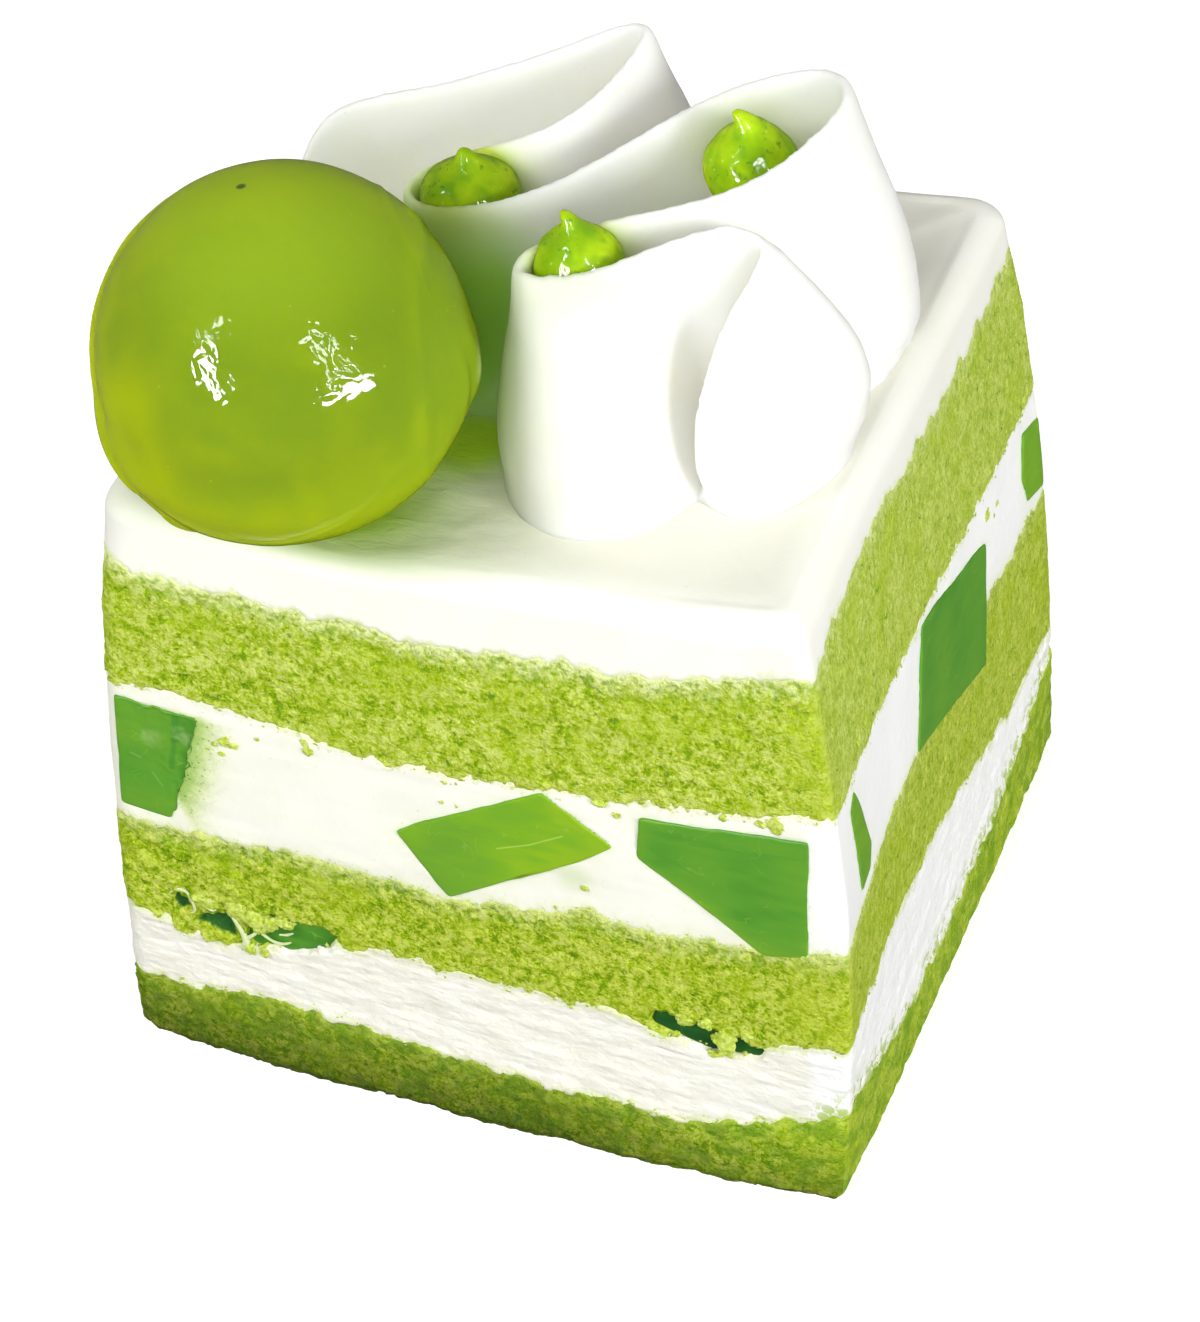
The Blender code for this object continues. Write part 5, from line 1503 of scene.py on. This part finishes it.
def gel_material():
    s = Shader("gel_flecked")
    broad = s.noise(2.2, 2.0, 0.5)
    colour = s.colours(broad, ((0.35, (0.235, 0.420, 0.008)), (0.60, (0.370, 0.570, 0.010)), (0.80, (0.500, 0.680, 0.020))))
    low = s.ramp(s.noise(1.6, 1.0, 0.5), 0.50, 0.70)
    colour = s.mix(s.math("MULTIPLY", low, 0.35), colour, (0.10, 0.33, 0.02))
    flecks = s.ramp(s.noise(0.50, 2.0, 0.6), 0.60, 0.70)
    colour = s.mix(s.math("MULTIPLY", flecks, s.ramp(s.noise(2.4, 1.0, 0.5), 0.42, 0.60, 0.15, 0.75)), colour, (0.055, 0.225, 0.020))
    # painted highlights: small pale glints in the gel
    painted_glints = s.ramp(s.voronoi(1.1), 0.07, 0.15, 1.0, 0.0)
    colour = s.mix(s.math("MULTIPLY", painted_glints, 0.35), colour, (0.68, 0.78, 0.12))
    # painted shade and light: the drops further left are darker, those to the right lighter
    painted_light_by_x = s.node("VectorMath", operation="SCALE")
    s.join(colour, painted_light_by_x.inputs[0])
    s.put(painted_light_by_x.inputs["Scale"], s.ramp(s.axis(0), -5.0, 14.0, 0.84, 1.20, smooth_step=False))
    s.set(Base_Color=painted_light_by_x.outputs[0], Roughness=0.4)
    s.bsdf.inputs["Specular IOR Level"].default_value = 0.0
    s.soft(0.6, (2.4, 2.8, 0.3))
    s.bsdf.inputs["Coat Weight"].default_value = 0.8
    s.bsdf.inputs["Coat Roughness"].default_value = 0.02
    s.bsdf.inputs["Coat IOR"].default_value = 1.38
    s.join(s.bump(s.noise(1.0, 1.0, 0.5, distortion=0.6), 0.8, 0.12), s.bsdf.inputs["Coat Normal"])
    return s.mat


def crumb_material():
    s = Shader("crumb_loose")
    f = s.noise(0.45, 2.0, 0.6)
    colour = s.colours(f, ((0.3, (0.66, 0.75, 0.24)), (0.50, (0.52, 0.63, 0.09)), (0.72, (0.33, 0.48, 0.020))))
    s.set(Base_Color=colour, Roughness=0.85)
    s.bsdf.inputs["Specular IOR Level"].default_value = 0.04
    s.set(Normal=s.bump(s.noise(0.30, 2.0, 0.6), 0.6, 0.14))
    return s.mat


# ------------------------------------------------------------- camera and light


def build_camera():
    az, el, roll = (math.radians(a) for a in (23.58, 43.60, -4.53))
    width = 62.0
    target = Vector((0.032 * width, -0.04 * width, 0.48 * width))
    back = Vector((math.sin(az) * math.cos(el), -math.cos(az) * math.cos(el), math.sin(el)))
    right = Vector((math.cos(az), math.sin(az), 0.0))
    up = back.cross(right)
    c, s = math.cos(roll), math.sin(roll)
    r2, u2 = c * right + s * up, -s * right + c * up
    at = (target + back * 6.0 * width) * MM
    m = Matrix.Identity(4)
    for i in range(3):
        m[i][0], m[i][1], m[i][2], m[i][3] = r2[i], u2[i], back[i], at[i]
    cam = bpy.data.cameras.new("camera")
    obj = bpy.data.objects.new("camera", cam)
    bpy.context.scene.collection.objects.link(obj)
    obj.matrix_world = m
    cam.sensor_fit = "AUTO"
    cam.sensor_width = 36.0
    cam.lens = 4359.0 / 1322.0 * 36.0
    cam.clip_start = 0.01
    cam.clip_end = 20.0
    bpy.context.scene.camera = obj


def add_light(name, azimuth, elevation, distance, size, power):
    light = bpy.data.lights.new(name, "AREA")
    light.shape = "RECTANGLE"
    light.size, light.size_y = size
    light.energy = power
    obj = bpy.data.objects.new(name, light)
    bpy.context.scene.collection.objects.link(obj)
    d = Vector(tuple(unit(azimuth, elevation)))
    obj.location = Vector((0.0, 0.0, 0.05)) + d * distance
    obj.rotation_euler = d.to_track_quat("Z", "Y").to_euler()
    return obj


def add_gleam(name, a, b, wide, radiance):
    """A narrow strip that only the gloss on the ball and drops catches. It runs
    from direction a to direction b, seen from the ball, and is wide degrees wide."""
    distance = 0.9
    da, db = Vector(tuple(unit(*a))), Vector(tuple(unit(*b)))
    facing = (da + db).normalized()
    along = (db - da).normalized()
    along = (along - facing * along.dot(facing)).normalized()
    across = facing.cross(along)
    light = bpy.data.lights.new(name, "AREA")
    light.shape = "RECTANGLE"
    light.size = 2.0 * distance * math.tan(da.angle(db) / 2.0)
    light.size_y = distance * math.radians(wide)
    light.energy = radiance * math.pi * light.size * light.size_y
    obj = bpy.data.objects.new(name, light)
    bpy.context.scene.collection.objects.link(obj)
    m = Matrix.Identity(4)
    at = Vector(tuple(BALL_CENTRE * MM)) + facing * distance
    for i in range(3):
        m[i][0], m[i][1], m[i][2], m[i][3] = along[i], across[i], facing[i], at[i]
    obj.matrix_world = m
    obj.visible_diffuse = False
    obj.visible_transmission = False
    obj.visible_volume_scatter = False
    return obj


def build_stage():
    bm = bmesh.new()
    bmesh.ops.create_grid(bm, x_segments=8, y_segments=8, size=3.0)
    mesh = bpy.data.meshes.new("floor")
    bm.to_mesh(mesh)
    bm.free()
    floor = bpy.data.objects.new("floor", mesh)
    bpy.context.scene.collection.objects.link(floor)
    s = Shader("floor_pale")
    s.set(Base_Color=(0.93, 0.93, 0.92, 1.0), Roughness=0.9)
    s.bsdf.inputs["Specular IOR Level"].default_value = 0.1
    s.bsdf.inputs["Emission Color"].default_value = (1.0, 1.0, 0.99, 1.0)
    s.bsdf.inputs["Emission Strength"].default_value = 0.42
    mesh.materials.append(s.mat)
    floor.visible_diffuse = False
    floor.visible_glossy = False

    world = bpy.data.worlds.new("studio")
    bpy.context.scene.world = world
    world.use_nodes = True
    nt = world.node_tree
    nt.nodes.clear()
    out = nt.nodes.new("ShaderNodeOutputWorld")
    bg = nt.nodes.new("ShaderNodeBackground")
    bg.inputs["Color"].default_value = (1.0, 1.0, 1.0, 1.0)
    bg.inputs["Strength"].default_value = 0.28
    wall = nt.nodes.new("ShaderNodeBackground")
    wall.inputs["Color"].default_value = (1.0, 1.0, 1.0, 1.0)
    wall.inputs["Strength"].default_value = 0.98
    dim = nt.nodes.new("ShaderNodeBackground")
    dim.inputs["Color"].default_value = (1.0, 1.0, 1.0, 1.0)
    dim.inputs["Strength"].default_value = 0.10
    path = nt.nodes.new("ShaderNodeLightPath")
    gloss = nt.nodes.new("ShaderNodeMixShader")
    mix = nt.nodes.new("ShaderNodeMixShader")
    nt.links.new(path.outputs["Is Glossy Ray"], gloss.inputs[0])
    nt.links.new(bg.outputs[0], gloss.inputs[1])
    nt.links.new(dim.outputs[0], gloss.inputs[2])
    nt.links.new(path.outputs["Is Camera Ray"], mix.inputs[0])
    nt.links.new(gloss.outputs[0], mix.inputs[1])
    nt.links.new(wall.outputs[0], mix.inputs[2])
    nt.links.new(mix.outputs[0], out.inputs[0])

    for key in (add_light("soft_left", -48.0, 32.0, 0.90, (0.30, 0.30), 3.9),
                add_light("soft_right", 64.0, 21.0, 0.90, (0.24, 0.30), 5.0),
                add_light("soft_fill", 24.0, 31.0, 1.10, (0.90, 0.80), 5.3),
                add_light("soft_back", 200.0, 14.0, 1.10, (0.90, 0.60), 2.6)):
        key.visible_glossy = False
    add_gleam("gleam_left", (-30.0, 28.0), (-9.0, 7.0), 7.0, 110.0)
    add_gleam("gleam_left_thin", (-27.5, 51.0), (-33.0, 30.0), 2.2, 45.0)
    add_gleam("gleam_right", (47.0, 8.0), (77.0, 2.0), 8.0, 90.0)
    add_gleam("gleam_right_thin", (54.0, 46.0), (61.5, 15.0), 3.0, 45.0)
    add_gleam("gleam_right_hook", (42.0, 42.0), (58.0, 47.0), 5.0, 50.0)
    bpy.context.scene.view_settings.view_transform = "Standard"
    bpy.context.scene.view_settings.look = "None"


# ------------------------------------------------------------------------ build


def main():
    build_camera()
    build_stage()
    top_sponge = sponge_material("sponge_top_crumb", (1.01, 1.01, 0.90), 0.90, 0.0, 1.12)
    middle_sponge = sponge_material("sponge_middle_crumb", (0.94, 0.94, 0.60), 0.50, 0.0, 1.25, (0.74, 0.80, 0.34))
    # the bottom crumb is darker overall: part its own soaked colour, part painted shade
    base_sponge = sponge_material("sponge_bottom_crumb", (0.68, 0.72, 0.36), 0.50, 0.34, 1.35, (0.42, 0.54, 0.07))
    build_sponge(4, top_sponge, 0.21, 0.50, 70)
    build_sponge(2, middle_sponge, 0.21, 0.50, 62)
    build_sponge(0, base_sponge, 0.22, 0.50, 46)
    lower = cream_material("cream_lower_whipped", (0.905, 0.900, 0.815), 0.62, 1.0, "lower")
    middle = cream_material("cream_middle_smooth", CREAM, 0.5, 0.5, "middle")
    top = cream_material("cream_top_spread", (0.925, 0.925, 0.850), 0.5, 0.5, "top")
    piped = cream_material("cream_ribbon_piped", (0.955, 0.955, 0.890), 0.46, 0.4, "piped")
    build_cream(1, lower, 0.25, 0.44, 56)
    build_cream(3, middle, 0.30, 0.50, 50)
    build_cream_top(top).visible_glossy = False
    jelly = jelly_material()
    for name, face, outline, depth, slant in JELLIES:
        build_jelly(name, face, outline, depth, slant, jelly)
    build_ball(ball_material())
    build_ribbon(piped)
    gel = gel_material()
    for name, place_mm, width, height, lean in DROPS:
        build_drop(name, place_mm, width, height, lean, gel)
    build_crumbs(crumb_material())
    build_strands(cream_material("cream_thread_whipped", (0.66, 0.75, 0.42), 0.55, 0.5, "thread"))


main()
